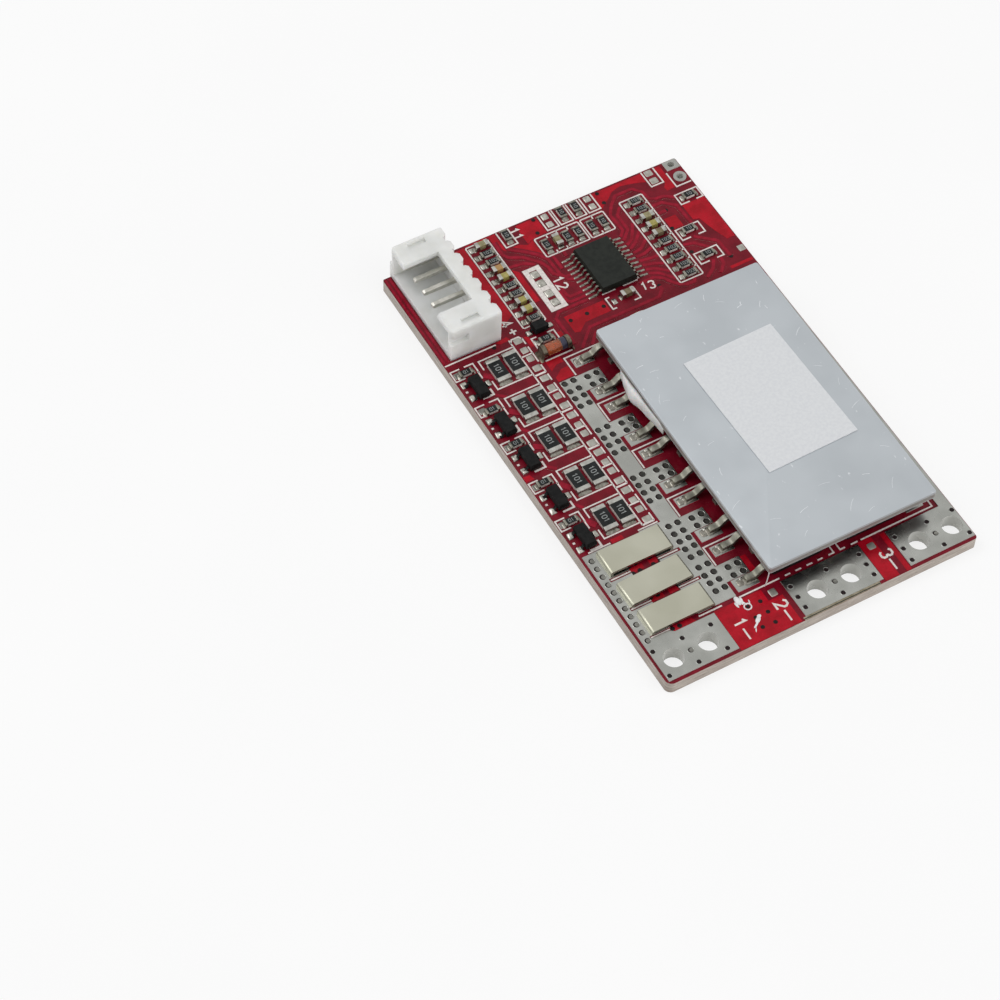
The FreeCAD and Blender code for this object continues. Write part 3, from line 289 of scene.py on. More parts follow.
# Geometry
class Sketch:
    """Closed forms in board millimetres, gathered into one piece."""

    def __init__(self):
        self.bm = bmesh.new()
        # Faces made with their outside out, because a search for it errs on flat drops
        self.wound = set()

    def face(self, verts, material):
        made = self.bm.faces.new(verts)
        made.material_index = material
        return made

    def loft(self, rings, material=0, capped=True):
        """Skin over rings of equally many points, with a lid at both ends."""
        rows = [[self.bm.verts.new(point) for point in ring] for ring in rings]
        for low, high in zip(rows, rows[1:]):
            for i in range(len(low)):
                j = (i + 1) % len(low)
                self.face((low[i], low[j], high[j], high[i]), material)
        if capped:
            self.face(rows[0][::-1], material)
            self.face(rows[-1], material)

    def prism(self, outline, z0, z1, material=0):
        """Upright prism over a flat outline whose points run anticlockwise."""
        self.loft([[(x, y, z) for x, y in outline] for z in (z0, z1)], material)

    def strip(self, points, width, z0, z1, material=0):
        """A flat band of even width along a broken line, with mitred corners."""
        line = [Vector(point) for point in points]
        left = []
        right = []
        for i, point in enumerate(line):
            steps = [b - a for a, b in zip(line[max(i - 1, 0):i + 1], line[max(i, 1):i + 2])]
            steps = [step.normalized() for step in steps]
            mean = sum(steps, Vector((0, 0))).normalized()
            across = Vector((-mean.y, mean.x))
            share = max(0.45, abs(mean.dot(steps[0])))
            left.append(point + across * width / 2 / share)
            right.append(point - across * width / 2 / share)
        for i in range(len(line) - 1):
            corners = (right[i], right[i + 1], left[i + 1], left[i])
            self.prism(corners, z0, z1, material)

    def block(self, low, high, bevel, material=0, matrix=Matrix.Identity(4)):
        """A box between two corners with rounded edges."""
        low = Vector(low)
        high = Vector(high)
        size = high - low
        place = matrix @ Matrix.Translation((low + high) / 2) @ Matrix.Diagonal((*size, 1))
        verts = bmesh.ops.create_cube(self.bm, size=1.0, matrix=place)["verts"]
        for face in {face for vert in verts for face in vert.link_faces}:
            face.material_index = material
        edges = list({edge for vert in verts for edge in vert.link_edges})
        offset = min(bevel, min(size) * 0.45)
        bmesh.ops.bevel(
            self.bm, geom=edges, offset=offset, segments=2, profile=0.6,
            affect="EDGES", material=-1, clamp_overlap=True,
        )

    def round_disc(self, x, y, z0, z1, radius, material):
        self.loft([circle(x, y, z, radius, DISC_SIDES) for z in (z0, z1)], material)

    def rim(self, x, y, z0, inner, outer, height):
        """A raised ring with a rounded top."""
        middle = (inner + outer) / 2
        shoulder = height * 0.7
        profile = [(outer, 0), (outer - 0.02, shoulder), (middle, height)]
        profile += [(inner + 0.02, shoulder), (inner, 0)]
        rings = [circle(x, y, z0 + up, radius, RIM_SIDES) for radius, up in profile]
        self.loft(rings + rings[:1], capped=False)

    def grid(self, rows, material=0):
        """A patch over rows of points that bulges away from the one face that closes it."""
        verts = [[self.bm.verts.new(point) for point in row] for row in rows]
        for first, second in zip(verts, verts[1:]):
            for i in range(len(first) - 1):
                self.wound.add(self.face((first[i], second[i], second[i + 1], first[i + 1]), material))
        edge = verts[0] + [row[-1] for row in verts[1:-1]]
        edge += verts[-1][::-1] + [row[0] for row in verts[-2:0:-1]]
        self.wound.add(self.face(edge, material))

    def pool(self, x, y, length, width, height, z, material, unevenness, seed, turn=0, rounded=0.12):
        """A drop that fills a small pad: steep at its rim, uneven on top, its corners rounded."""
        steps = POOL_STEPS
        rows = []
        spin = Matrix.Rotation(math.radians(turn), 2)
        for i in range(steps + 1):
            u = math.sin(math.pi * (i / steps - 0.5))
            row = []
            for j in range(steps + 1):
                v = math.sin(math.pi * (j / steps - 0.5))
                along = u * math.sqrt(1 - rounded * v * v) * length / 2
                flat = spin @ Vector((along, v * math.sqrt(1 - rounded * u * u) * width / 2))
                swell = math.sqrt(max((1 - u ** 6) * (1 - v ** 6), 0))
                wave = noise.noise(Vector((x + flat.x, y + flat.y, seed)) * POOL_WAVES)
                row.append((x + flat.x, y + flat.y, z + height * swell * (1 + unevenness * wave)))
            rows.append(row)
        self.grid(rows if height > 0 else rows[::-1], material)

    def fillet(self, x, y, z, width, run, rise, heading, material=0):
        """Solder that climbs an end cap: concave outward, low at both sides."""
        turn = Matrix.Translation((x, y, z)) @ Matrix.Rotation(math.radians(heading), 4, "Z")
        rows = []
        for out, up in FILLET_CURVE:
            row = []
            for step in range(-4, 5):
                v = step / 4
                side = 1 - abs(v) ** 5
                row.append(turn @ Vector((run * out * (1 - 0.2 * v * v), v * width / 2, rise * up * side)))
            rows.append(row)
        self.grid(rows, material)

    def turned(self, profile, start, material=0):
        """A body of revolution about an X axis from start, from (along, radius) pairs."""
        rings = []
        for along, radius in profile:
            ring = circle(start[1], start[2], start[0] + along, radius, TURNED_SIDES)
            rings.append([(x, y, z) for y, z, x in ring])
        self.loft(rings, material)

    def digits(self, text, x, y, z, height, width, material=0, turn=0.0):
        """Plain stroked digits centred on a point."""
        spin = Matrix.Rotation(math.radians(turn), 2)
        pitch = DIGIT_PITCH * height
        start = -pitch * (len(text) - 1) / 2
        for i, digit in enumerate(text):
            for order, stroke in enumerate(STROKES[digit]):
                points = []
                for u, v in stroke:
                    flat = spin @ Vector((start + pitch * i + (u - 0.3) * height, (v - 0.5) * height))
                    points.append((x + flat.x, y + flat.y))
                self.strip(points, width, z, z + PRINT_HEIGHT / 2 + order * LAYER_STEP, material)


def circle(x, y, z, radius, sides):
    turns = [2 * math.pi * i / sides for i in range(sides)]
    return [(x + radius * math.cos(turn), y + radius * math.sin(turn), z) for turn in turns]


DISC_SIDES = 18
RIM_SIDES = 22
TURNED_SIDES = 28
POOL_STEPS = 9
POOL_WAVES = 1.7
FILLET_CURVE = ((0, 0), (0, 1), (0.15, 0.72), (0.35, 0.42), (0.6, 0.2), (0.85, 0.08), (1, 0))
DIGIT_PITCH = 0.85
ZERO = ((0.15, 0), (0.45, 0), (0.6, 0.2), (0.6, 0.8), (0.45, 1), (0.15, 1), (0, 0.8), (0, 0.2), (0.15, 0))
TWO = ((0, 0.8), (0.15, 1), (0.45, 1), (0.6, 0.8), (0.6, 0.62), (0, 0), (0.6, 0))
THREE = ((0, 0.85), (0.15, 1), (0.45, 1), (0.6, 0.85), (0.6, 0.65), (0.4, 0.52))
THREE_LOW = ((0.4, 0.52), (0.6, 0.38), (0.6, 0.15), (0.45, 0), (0.15, 0), (0, 0.15))
STROKES = {
    "0": (ZERO,),
    "1": (((0.08, 0.78), (0.3, 1), (0.3, 0)),),
    "2": (TWO,),
    "3": (THREE, THREE_LOW),
    "4": (((0.45, 0), (0.45, 1), (0, 0.3), (0.65, 0.3)),),
    "+": (((-0.05, 0.5), (0.65, 0.5)), ((0.3, 0.15), (0.3, 0.85))),
}


def on_plan(values):
    """Points in board millimetres from x and y in turn on the plan."""
    return [(x * PLAN, y * PLAN) for x, y in zip(values[::2], values[1::2])]


def rectangle(x0, y0, x1, y1):
    return (x0, y0, x1, y0, x1, y1, x0, y1)


def piece(name, sketch, surfaces, replaced=(), smooth=40):
    """Turn a sketch into a piece that rides on the board."""
    faces = [face for face in sketch.bm.faces if face not in sketch.wound]
    bmesh.ops.recalc_face_normals(sketch.bm, faces=faces)
    mesh = bpy.data.meshes.new(name)
    sketch.bm.to_mesh(mesh)
    sketch.bm.free()
    mesh.transform(Matrix.Translation(CORNER) @ Matrix.Scale(MM, 4))
    mesh.shade_smooth()
    mesh.set_sharp_from_angle(angle=math.radians(smooth))
    for surface in surfaces:
        mesh.materials.append(skins[surface].material)
    made = bpy.data.objects.new(name, mesh)
    bpy.context.scene.collection.objects.link(made)
    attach(made, "root")
    if replaced:
        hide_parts(*replaced)


def solids(node):
    """Lowest and highest corner of each separate solid of a node, in board millimetres."""
    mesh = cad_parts[node].data
    keys = [tuple(round(c / MM, 3) for c in vert.co - CORNER) for vert in mesh.vertices]
    groups = {key: {key} for key in keys}
    for polygon in mesh.polygons:
        joined = set().union(*(groups[keys[i]] for i in polygon.vertices))
        groups.update(dict.fromkeys(joined, joined))
    boxes = []
    for group in {id(group): group for group in groups.values()}.values():
        boxes.append([Vector(pick(key[axis] for key in group) for axis in range(3)) for pick in (min, max)])
    return sorted(boxes, key=lambda box: (-round(box[0].y, 2), box[0].x))


def dress(node, surface, bevel=0.0, segments=2):
    """Give a solid of the frame its material and slightly rounded edges."""
    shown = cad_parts[node]
    shown.data.materials.clear()
    shown.data.materials.append(skins[surface].material)
    if bevel:
        weld = shown.modifiers.new("weld", "WELD")
        weld.merge_threshold = 0.002 * MM
        soften = shown.modifiers.new("soften", "BEVEL")
        soften.width = bevel * MM
        soften.segments = segments
        soften.limit_method = "ANGLE"
        soften.angle_limit = math.radians(28)
        soften.harden_normals = True


# Solids of the frame that keep their shape
TRANSISTORS = range(1, 11)
LEFT_TRANSISTORS = 5
dress("circuit_board", "red_lacquer")
for name in ("pack_minus_pad", "load_minus_pad", "charge_minus_pad", "current_bus"):
    dress(name, "hot_tin")
for name in ("lead_pads", "drain_pads", "sensor_pads"):
    dress(name, "hot_tin")
for number in range(1, 4):
    dress("shunt_%d" % number, "shunt_alloy", 0.03)
for number in TRANSISTORS:
    dress("mosfet_body_%d" % number, "black_epoxy", 0.06)
for number in range(1, 6):
    dress("bleed_transistor_%d" % number, "black_epoxy", 0.05)
dress("clamp_diode", "black_epoxy", 0.05)
dress("label", "label_paper")
dress("socket_housing", "white_nylon", 0.12, 3)
dress("socket_pins", "pin_tin", 0.05)
dress("controller_body", "grey_epoxy", 0.05)
dress("controller_leads", "lead_tin", 0.025)


# Chip resistors and capacitors
CHIP_SURFACES = (
    "white_ceramic", "black_glaze", "cap_tin", "mark_grey", "dull_solder",
    "olive_body", "yellow_body", "orange_body", "brown_body", "dark_cap_tin",
)
CERAMIC, GLAZE, CAP, MARK, SOLDER, OLIVE, YELLOW, ORANGE, BROWN, DARK_CAP = range(10)
RESISTOR_CAP = 0.17
CAPACITOR_CAP = 0.27
LEAST_CAP = 0.26
BODY_INSET = 0.03
LARGE_CHIP = 1.2
LARGE_MARK = 0.56
SMALL_MARK = 0.38


def chip(sketch, low, high, body, text, wets, share, cap_skin):
    """A chip part inside a box: end caps, body, a glazed window with digits, solder at its ends."""
    size = high - low
    upright = size.y > size.x
    length, width = (size.y, size.x) if upright else (size.x, size.y)
    centre = (low + high) / 2
    turn = -90 if upright else 0
    place = Matrix.Translation((centre.x, centre.y, low.z)) @ Matrix.Rotation(math.radians(turn), 4, "Z")
    half = length / 2
    cap = max(LEAST_CAP, length * share)
    side = width / 2
    for end, run in zip((-1, 1), wets):
        x0, x1 = sorted((end * half, end * (half - cap)))
        sketch.block((x0, -side, 0), (x1, side, size.z), 0.06, cap_skin, place)
        foot = place @ Vector((end * (half - 0.02), 0, 0))
        heading = (0 if end > 0 else 180) + turn
        sketch.fillet(foot.x, foot.y, TOP, width * 0.98, run, size.z * 0.6, heading, SOLDER)
    core = half - cap * 0.8
    core_side = side - BODY_INSET
    core_skin = CERAMIC if body == GLAZE else body
    sketch.block(
        (-core, -core_side, BODY_INSET), (core, core_side, size.z - BODY_INSET), 0.04, core_skin, place
    )
    if body == GLAZE:
        window = half - cap * 0.95
        pane = side - 0.035
        sketch.block((-window, -pane, size.z - 0.06), (window, pane, size.z - 0.004), 0.02, GLAZE, place)
    if text:
        height = LARGE_MARK if width > LARGE_CHIP else SMALL_MARK
        sketch.digits(text, centre.x, centre.y, high.z - 0.012, height, height * 0.15, MARK, turn)


def resistor_piece(node, text, wets, cap_skin=DARK_CAP):
    sketch = Sketch()
    for low, high in solids(node):
        chip(sketch, low, high, GLAZE, text, wets, RESISTOR_CAP, cap_skin)
    piece(node + "_dressed", sketch, CHIP_SURFACES, (node,))


for number in range(1, 6):
    resistor_piece("bleed_resistors_%d" % number, "101", (0.3, 0.35), CAP)
resistor_piece("gate_resistors", "01", (0.3, 0.3))
resistor_piece("socket_column_resistors", "103", (0.35, 0.3))
resistor_piece("right_column_resistors", "103", (0.35, 0.3))
resistor_piece("row_resistors", "10", (0.3, 0.45))
resistor_piece("edge_resistors", "10", (0.3, 0.45))
resistor_piece("single_resistors", "10", (0.35, 0.35))

capacitors = Sketch()
CAPACITOR_BODIES = (OLIVE, OLIVE, ORANGE, OLIVE, YELLOW, YELLOW, BROWN, YELLOW, YELLOW, BROWN)
for body, (low, high) in zip(CAPACITOR_BODIES, solids("small_capacitors")):
    chip(capacitors, low, high, body, "", (0.3, 0.3), CAPACITOR_CAP, CAP)
piece("small_capacitors_dressed", capacitors, CHIP_SURFACES, ("small_capacitors",))


# Glass diode: clear tube over its core, tinned end caps
tube_low, tube_high = solids("glass_diode_tube")[0]
tube_length = tube_high.x - tube_low.x
tube_radius = (tube_high.z - tube_low.z) / 2
tube_centre = (tube_low + tube_high) / 2
tube = Sketch()
start = (tube_low.x, tube_centre.y, tube_centre.z)
profile = ((0, 0.9), (0.08, 1), (tube_length - 0.08, 1), (tube_length, 0.9))
tube.turned([(along, tube_radius * share) for along, share in profile], start)
piece("glass_tube_dressed", tube, ("amber_glass",), ("glass_diode_tube",))
core = Sketch()
WIRE_RADIUS = 0.3
CORE_RADIUS = 0.42
core_end = (tube_length * 0.42, CORE_RADIUS)
wire = ((tube_length * 0.46, WIRE_RADIUS), (tube_length - 0.05, WIRE_RADIUS))
core.turned(((0.02, WIRE_RADIUS), (0.1, CORE_RADIUS), core_end, *wire), start)
band = ((0.74, 0.004), (0.76, 0.012), (0.98, 0.012), (1, 0.004))
core.turned([(tube_length * share, tube_radius + proud) for share, proud in band], start, 1)
piece("glass_diode_core", core, ("amber_core", "band_dark"))
caps = Sketch()
for low, high in solids("glass_diode_caps"):
    centre = (low + high) / 2
    reach = high.x - low.x
    radius = (high.z - low.z) / 2
    profile = ((0, radius * 0.82), (0.08, radius), (reach - 0.08, radius), (reach, radius * 0.9))
    caps.turned(profile, (low.x, centre.y, centre.z))
    outward = 1 if centre.x > tube_centre.x else -1
    edge = high.x if outward > 0 else low.x
    caps.fillet(edge - outward * 0.05, centre.y, TOP, radius * 2.2, 0.4, radius, 0 if outward > 0 else 180)
piece("glass_diode_caps_dressed", caps, ("diode_cap",), ("glass_diode_caps",))


# Leads of the power transistors: flat copper strips bent like a gull's wing
LEAD_WIDTH = 0.76
LEAD_THICKNESS = 0.5
LEAD_PITCH = 2.286
# Distance from the body, height and slope of each station
LEAD_PATH = (
    (0.0, 1.05, 0), (0.35, 1.05, 0), (0.6, 1.02, -14), (0.82, 0.93, -32), (1.02, 0.77, -42),
    (1.2, 0.59, -42), (1.38, 0.42, -34), (1.56, 0.31, -20), (1.8, 0.26, -5), (2.2, 0.25, 0),
    (2.68, 0.25, 0), (2.75, 0.24, 0),
)
LEAD_STUB = ((0.0, 1.05, 0), (0.55, 1.05, 0), (0.7, 1.07, 0))
LEAD_SECTION = (
    (-0.5, -0.4), (-0.46, -0.5), (0.46, -0.5), (0.5, -0.4), (0.5, 0.38), (0.45, 0.5), (-0.45, 0.5),
    (-0.5, 0.38),
)


def lead_ring(face_x, outward, y, along, height, slope, squeeze=1.0):
    """Cross-section of a lead, square to its path."""
    tilt = math.radians(slope)
    ring = []
    for side, up in LEAD_SECTION:
        rise = up * LEAD_THICKNESS * squeeze
        x = face_x + outward * (along - rise * math.sin(tilt))
        ring.append((x, y + side * LEAD_WIDTH * squeeze, PAD_TOP + height + rise * math.cos(tilt)))
    return ring


def transistor_face(number):
    """Where the leads leave a power transistor: their direction along X and the face's middle."""
    low, high = solids("mosfet_body_%d" % number)[0]
    outward = -1 if number <= LEFT_TRANSISTORS else 1
    return outward, low.x if outward < 0 else high.x, (low.y + high.y) / 2


def transistor_leads(number):
    """Two bent leads, the cut middle lead and the drain slug of one transistor."""
    outward, face_x, middle = transistor_face(number)
    leads = Sketch()
    for y in (middle - LEAD_PITCH, middle + LEAD_PITCH):
        rings = [lead_ring(face_x, outward, y, *station) for station in LEAD_PATH[:-1]]
        rings.append(lead_ring(face_x, outward, y, *LEAD_PATH[-1], 0.9))
        leads.loft(rings)
    leads.loft([lead_ring(face_x, outward, middle, *station, 0.94) for station in LEAD_STUB])
    node = "mosfet_leads_%d" % number
    slug = max(solids(node), key=lambda box: (box[1] - box[0]).y)
    leads.block(*slug, 0.06)
    piece(node + "_dressed", leads, ("lead_tin",), (node,), 50)


for number in TRANSISTORS:
    transistor_leads(number)


# Heat plate: sheared edges, a groove under the rounded upper rim and a burr below
plate_low, plate_high = solids("heat_plate")[0]
PLATE_WIDTH = 20.4
PLATE_LENGTH = 35.15
PLATE_TURN = math.radians(-0.5)
PLATE_CORNER = 0.3
PLATE_PROFILE = (
    (0.03, 0.0), (0.05, 0.03), (0.0, 0.1), (0.03, 0.4), (0.0, 0.46), (0.0, 0.74), (0.04, 0.78),
    (0.01, 0.83), (0.01, 0.93), (0.05, 0.985), (0.13, 1.0),
)
plate_middle = (plate_low + plate_high) / 2
plate_thickness = plate_high.z - plate_low.z


def on_plate(x, y, z):
    """A point of the plate's own plan, whose origin is its middle."""
    cos, sin = math.cos(PLATE_TURN), math.sin(PLATE_TURN)
    return (plate_middle.x + x * cos - y * sin, plate_middle.y + x * sin + y * cos, z)


def plate_ring(inset, up):
    """Outline of the plate at one height, with rounded corners."""
    steps = 4
    reach = PLATE_CORNER - inset
    x = PLATE_WIDTH / 2 - inset - reach
    y = PLATE_LENGTH / 2 - inset - reach
    ring = []
    for cx, cy, start_angle in ((x, -y, -90), (x, y, 0), (-x, y, 90), (-x, -y, 180)):
        for i in range(steps + 1):
            angle = math.radians(start_angle + 90 * i / steps)
            place = (cx + reach * math.cos(angle), cy + reach * math.sin(angle))
            ring.append(on_plate(*place, plate_low.z + up * plate_thickness))
    return ring


plate = Sketch()
plate.loft([plate_ring(inset, up) for inset, up in PLATE_PROFILE])
piece("heat_plate_dressed", plate, ("bare_aluminium",), ("heat_plate",), 30)

# Scratches by width: middle, length and heading of each fine raised burr
SCRATCHES = {
    0.03: (
        (-5.2, 16.4, 0.6, 50), (-9.2, 13.6, 0.7, -40), (-8.9, 6.3, 1.3, 62), (-8.4, 5.8, 0.8, -15),
        (-7.2, -1.2, 0.9, 12), (-9.1, -9.2, 1.5, 28), (-6.4, -12.6, 1.1, -22), (-4.6, -15.6, 0.9, 40),
        (0.4, -11.2, 1.3, -8), (3.0, -16.2, 1.0, 18), (6.8, -14.4, 1.4, 55), (8.6, -10.1, 1.0, -35),
        (9.1, -0.6, 0.9, 64), (6.9, 8.9, 0.8, 24), (3.6, 14.6, 1.0, -28), (-0.6, 16.3, 1.2, 14),
    ),
    0.04: (
        (-4.4, 13.4, 0.5, -12), (8.2, 2.2, 0.9, -30), (9.0, -4.0, 1.4, 22), (1.5, -14.8, 1.6, 48),
        (-7.9, 2.9, 0.7, 35),
    ),
    0.05: (
        (-6.2, 15.2, 1.1, 30), (-8.6, 11.0, 0.9, 5), (-7.5, 9.8, 1.0, -8), (8.9, 7.2, 1.2, 40),
        (-3.2, -13.0, 1.2, 15), (4.9, -12.2, 0.8, -20), (-8.2, -4.8, 1.0, 75),
    ),
    0.06: (
        (2.4, 15.9, 0.8, 66), (7.3, 12.3, 0.9, 58), (7.7, 11.7, 0.5, 96), (8.6, 15.1, 0.4, 84),
    ),
    0.07: (
        (5.2, 13.1, 0.7, 12), (5.5, 13.4, 0.5, 70),
    ),
}


def scratch(x, y, length, heading, width):
    """A slightly bent burr along a heading."""
    angle = math.radians(heading)
    along = Vector((math.cos(angle), math.sin(angle))) * length / 2
    bend = Vector((-along.y, along.x)) * 0.12
    trail = []
    for share in (-1, -0.4, 0.3, 1):
        point = Vector((x, y)) + along * share + bend * (1 - share * share)
        trail.append(on_plate(*point, 0)[:2])
    scratches.strip(trail, width, plate_high.z - 0.01, plate_high.z + 0.004)


scratches = Sketch()
for width, places in SCRATCHES.items():
    for place in places:
        scratch(*place, width)
piece("plate_scratches", scratches, ("bright_scratch",))


# Silicone squeezed out from under the plate
BEAD = (
    (26.2, 0.0), (27.0, 0.1), (27.8, 0.17), (28.85, 0.38), (29.8, 0.46), (30.5, 0.6), (31.1, 0.88),
    (31.7, 0.92), (32.5, 0.72), (33.5, 0.45), (34.3, 0.15), (34.9, 0.0),
)


def bulge(sketch, stations, place):
    """A rounded roll that follows a straight edge: stations are (along, reach, foot, crest)."""
    rings = []
    for along, reach, foot, crest in stations:
        ring = []
        for i in range(12):
            turn = 2 * math.pi * i / 12
            out = reach * (0.45 + 0.55 * math.cos(turn))
            up = (foot + crest) / 2 + (crest - foot) / 2 * math.sin(turn)
            wobble = noise.noise(Vector((along * 1.3, turn, 2.0))) * 0.08 * reach
            ring.append(place(along, out + wobble, up))
        rings.append(ring)
    sketch.loft(rings)


glue = Sketch()
plate_left = on_plate(-PLATE_WIDTH / 2, 6.0, 0)[0]
plate_back = on_plate(-4.8, PLATE_LENGTH / 2, 0)[1]
stations = [(y, 0.12 + reach, 3.1 - 0.1 * reach, plate_low.z + 0.2 + 0.52 * reach) for y, reach in BEAD]
bulge(glue, stations, lambda along, out, up: (plate_left + 0.1 - out, along, up))
BACK_CENTRE = 20.55
stations = []
for step in range(-5, 6):
    share = math.sqrt(1 - (step / 5.5) ** 2)
    stations.append((BACK_CENTRE + 1.75 * step / 5, 0.1 + 0.32 * share, 4.0, 4.1 + 0.75 * share))
bulge(glue, stations, lambda along, out, up: (along, plate_back - 0.06 + out, up))
film_low = on_plate(-PLATE_WIDTH / 2 + 1.1, -PLATE_LENGTH / 2 + 1.1, plate_low.z - 0.1)
film_high = on_plate(PLATE_WIDTH / 2 - 4.6, PLATE_LENGTH / 2 - 0.3, plate_low.z + 0.001)
glue.block(film_low, film_high, 0.03)
STRING_RADIUS = 0.06
string_start = on_plate(-PLATE_WIDTH / 2 + 0.06, -PLATE_LENGTH / 2 + 0.12, plate_low.z + 0.05)
string = (string_start, (15.15, 5.5, 3.4), (14.95, 5.42, 2.3), (14.85, 5.5, 1.66))
string = [Vector(point) for point in string]
for ends in zip(string, string[1:]):
    axis = (ends[1] - ends[0]).normalized()
    side = axis.cross(Vector((0, 0, 1))).normalized() * STRING_RADIUS
    lift = side.cross(axis)
    turns = (0, 1.26, 2.51, 3.77, 5.03)
    glue.loft([[end + side * math.cos(t) + lift * math.sin(t) for t in turns] for end in ends])
piece("silicone_squeezed_out", glue, ("white_silicone",), ("silicone_glue",), 60)


# Red lacquer over copper: bright where copper lies beneath
POURS = (
    (8.85, 0.06, 14.6, 5.5),
    (14.6, 0.06, 16.3, 3.9),
    (26.75, 0.06, 28.45, 5.6),
    (29.4, 0.06, 30.0, 5.4),
    (7.7, 48.4, 10.2, 49.9, 10.2, 60.9, 7.7, 60.9),
    (10.5, 61.1, 13.9, 60.95),
    (13.45, 59.2, 14.3, 58.2, 14.3, 61.1, 13.45, 61.1),
    (35.3, 52.2, 36.0, 52.0, 36.6, 49.6, 37.2, 47.9, 38.25, 47.9, 38.25, 54.6, 35.3, 54.6),
    (13.4, 50.2, 14.0, 50.2, 14.0, 54.9, 13.4, 55.6),
    (23.5, 61.15, 23.65, 58.3),
    (3.5, 5.9, 4.05, 5.42, 6.7, 5.42, 6.4, 6.05, 3.5, 6.05),
    (3.9, 9.6, 5.45, 10.15),
    (6.1, 9.6, 7.15, 10.15),
    (3.9, 13.7, 5.45, 14.35),
    (6.2, 13.7, 7.15, 14.35),
    (4.1, 17.95, 5.5, 18.5),
    (14.95, 7.95, 15.6, 10.1),
    (10.0, 39.3, 12.0, 39.3, 12.0, 40.75, 11.1, 40.7, 10.3, 40.1, 10.0, 39.9),
    (10.1, 40.9, 11.0, 41.5, 11.9, 41.5, 11.9, 42.35, 10.1, 42.35),
    (0.1, 29.2, 1.1, 29.2, 0.9, 29.9, 0.1, 29.95),
    (9.8, 44.9, 10.25, 44.9, 10.25, 46.4, 9.75, 46.6),
    (7.0, 46.9, 8.3, 46.9, 8.1, 47.5, 6.6, 47.3),
    (17.0, 61.0, 16.95, 58.0, 17.7, 58.35, 19.7, 58.5, 19.7, 61.0),
    (14.5, 58.35, 15.6, 57.6, 16.9, 56.4, 17.7, 55.4, 17.7, 58.3, 16.9, 57.9, 16.0, 58.4),
    (15.1, 44.4, 15.7, 44.2, 16.9, 45.15, 20.2, 45.15, 20.2, 46.9, 15.1, 46.9),
    (13.3, 44.6, 14.4, 45.4),
    (27.0, 58.5, 28.2, 59.35, 29.3, 60.2, 30.5, 60.5, 32.2, 60.1, 33.55, 59.6, 33.55, 61.0, 27.0, 61.0),
    (35.0, 57.3, 36.15, 57.4, 36.15, 61.0, 35.4, 61.0, 35.4, 58.5, 34.95, 57.9),
    (32.4, 51.95, 33.9, 53.8),
    (35.3, 43.9, 38.2, 44.3),
)
pours = Sketch()
for step, values in enumerate(POURS):
    outline = rectangle(*values) if len(values) == 4 else values
    pours.prism(on_plan(outline), ROOT, POUR_TOP - step * LAYER_STEP)
piece("copper_pours_under_lacquer", pours, ("red_over_copper",))

TRACES = (
    (14.7, 42.1, 16.9, 44.3, 26.0, 44.3, 26.8, 45.1, 26.8, 45.6),
    (15.9, 42.0, 17.1, 43.3, 24.5, 43.3),
    (18.8, 47.8, 15.0, 47.8, 14.25, 47.1, 14.25, 43.0),
    (18.8, 48.4, 16.9, 48.4, 16.6, 48.7, 16.6, 50.4),
    (18.8, 49.1, 17.3, 49.1, 17.0, 49.4, 17.0, 51.2, 16.6, 51.6),
    (
        13.6, 60.0, 13.6, 58.0, 14.0, 57.3, 15.5, 56.5, 16.8, 55.0, 17.2, 54.0, 17.3, 52.8, 18.3, 51.8,
        18.9, 51.8,
    ),
    (13.3, 56.0, 15.0, 55.8, 16.2, 55.0),
    (14.5, 58.4, 16.0, 57.2, 17.2, 56.0, 17.8, 55.0, 17.9, 52.5, 18.3, 51.4, 18.9, 51.1),
    (18.5, 53.0, 18.5, 55.2),
    (19.9, 54.4, 19.9, 55.3),
    (
        26.7, 53.9, 27.4, 54.6, 27.3, 57.2, 28.2, 58.5, 29.3, 59.5, 31.5, 59.5, 32.3, 58.6, 32.5, 57.3,
        33.2, 56.9, 34.2, 56.8, 35.3, 56.0,
    ),
    (26.7, 53.2, 28.0, 54.5, 28.0, 56.8, 28.9, 57.8),
    (26.7, 52.5, 27.6, 53.0, 28.3, 54.0, 28.9, 55.0),
    (26.7, 51.8, 27.6, 52.3, 29.0, 53.6),
    (26.7, 51.1, 27.8, 51.3, 29.0, 52.2),
    (26.7, 50.5, 27.8, 50.5, 29.0, 50.9),
    (26.7, 49.8, 27.8, 49.6, 29.0, 49.5),
    (26.7, 49.1, 27.8, 48.8, 29.0, 48.2),
    (26.7, 48.4, 27.8, 48.0, 29.0, 46.9),
    (26.7, 47.8, 27.8, 47.2, 28.6, 46.2, 29.0, 45.6),
    (32.2, 56.1, 33.5, 56.1, 34.8, 54.9, 34.9, 51.8),
    (32.2, 54.8, 33.3, 54.85),
    (25.0, 47.0, 26.9, 47.0, 27.8, 46.4, 28.3, 45.5, 29.0, 44.7, 29.6, 44.4, 30.6, 44.3, 30.9, 44.8),
    (34.0, 50.0, 36.1, 48.2, 36.2, 45.6),
    (32.3, 49.5, 33.5, 49.2, 34.8, 47.8),
    (34.2, 46.0, 33.5, 45.0, 32.2, 44.1),
    (35.1, 46.0, 34.9, 45.0, 33.9, 44.0),
    (3.0, 41.1, 4.0, 40.2),
    (3.0, 35.8, 3.9, 34.8),
    (2.9, 30.2, 3.9, 29.2),
    (3.0, 24.4, 3.8, 23.4),
)
EDGE_TRACES = ((0.24, 0.26), (0.74, 0.3))
WIDE_TRACES = (
    (3.2, 38.4, 4.2, 37.6), (3.1, 33.0, 4.2, 32.4), (3.2, 44.0, 4.2, 43.2), (3.1, 27.3, 3.9, 26.3),
    (3.0, 21.9, 3.8, 20.8),
)
traces = Sketch()
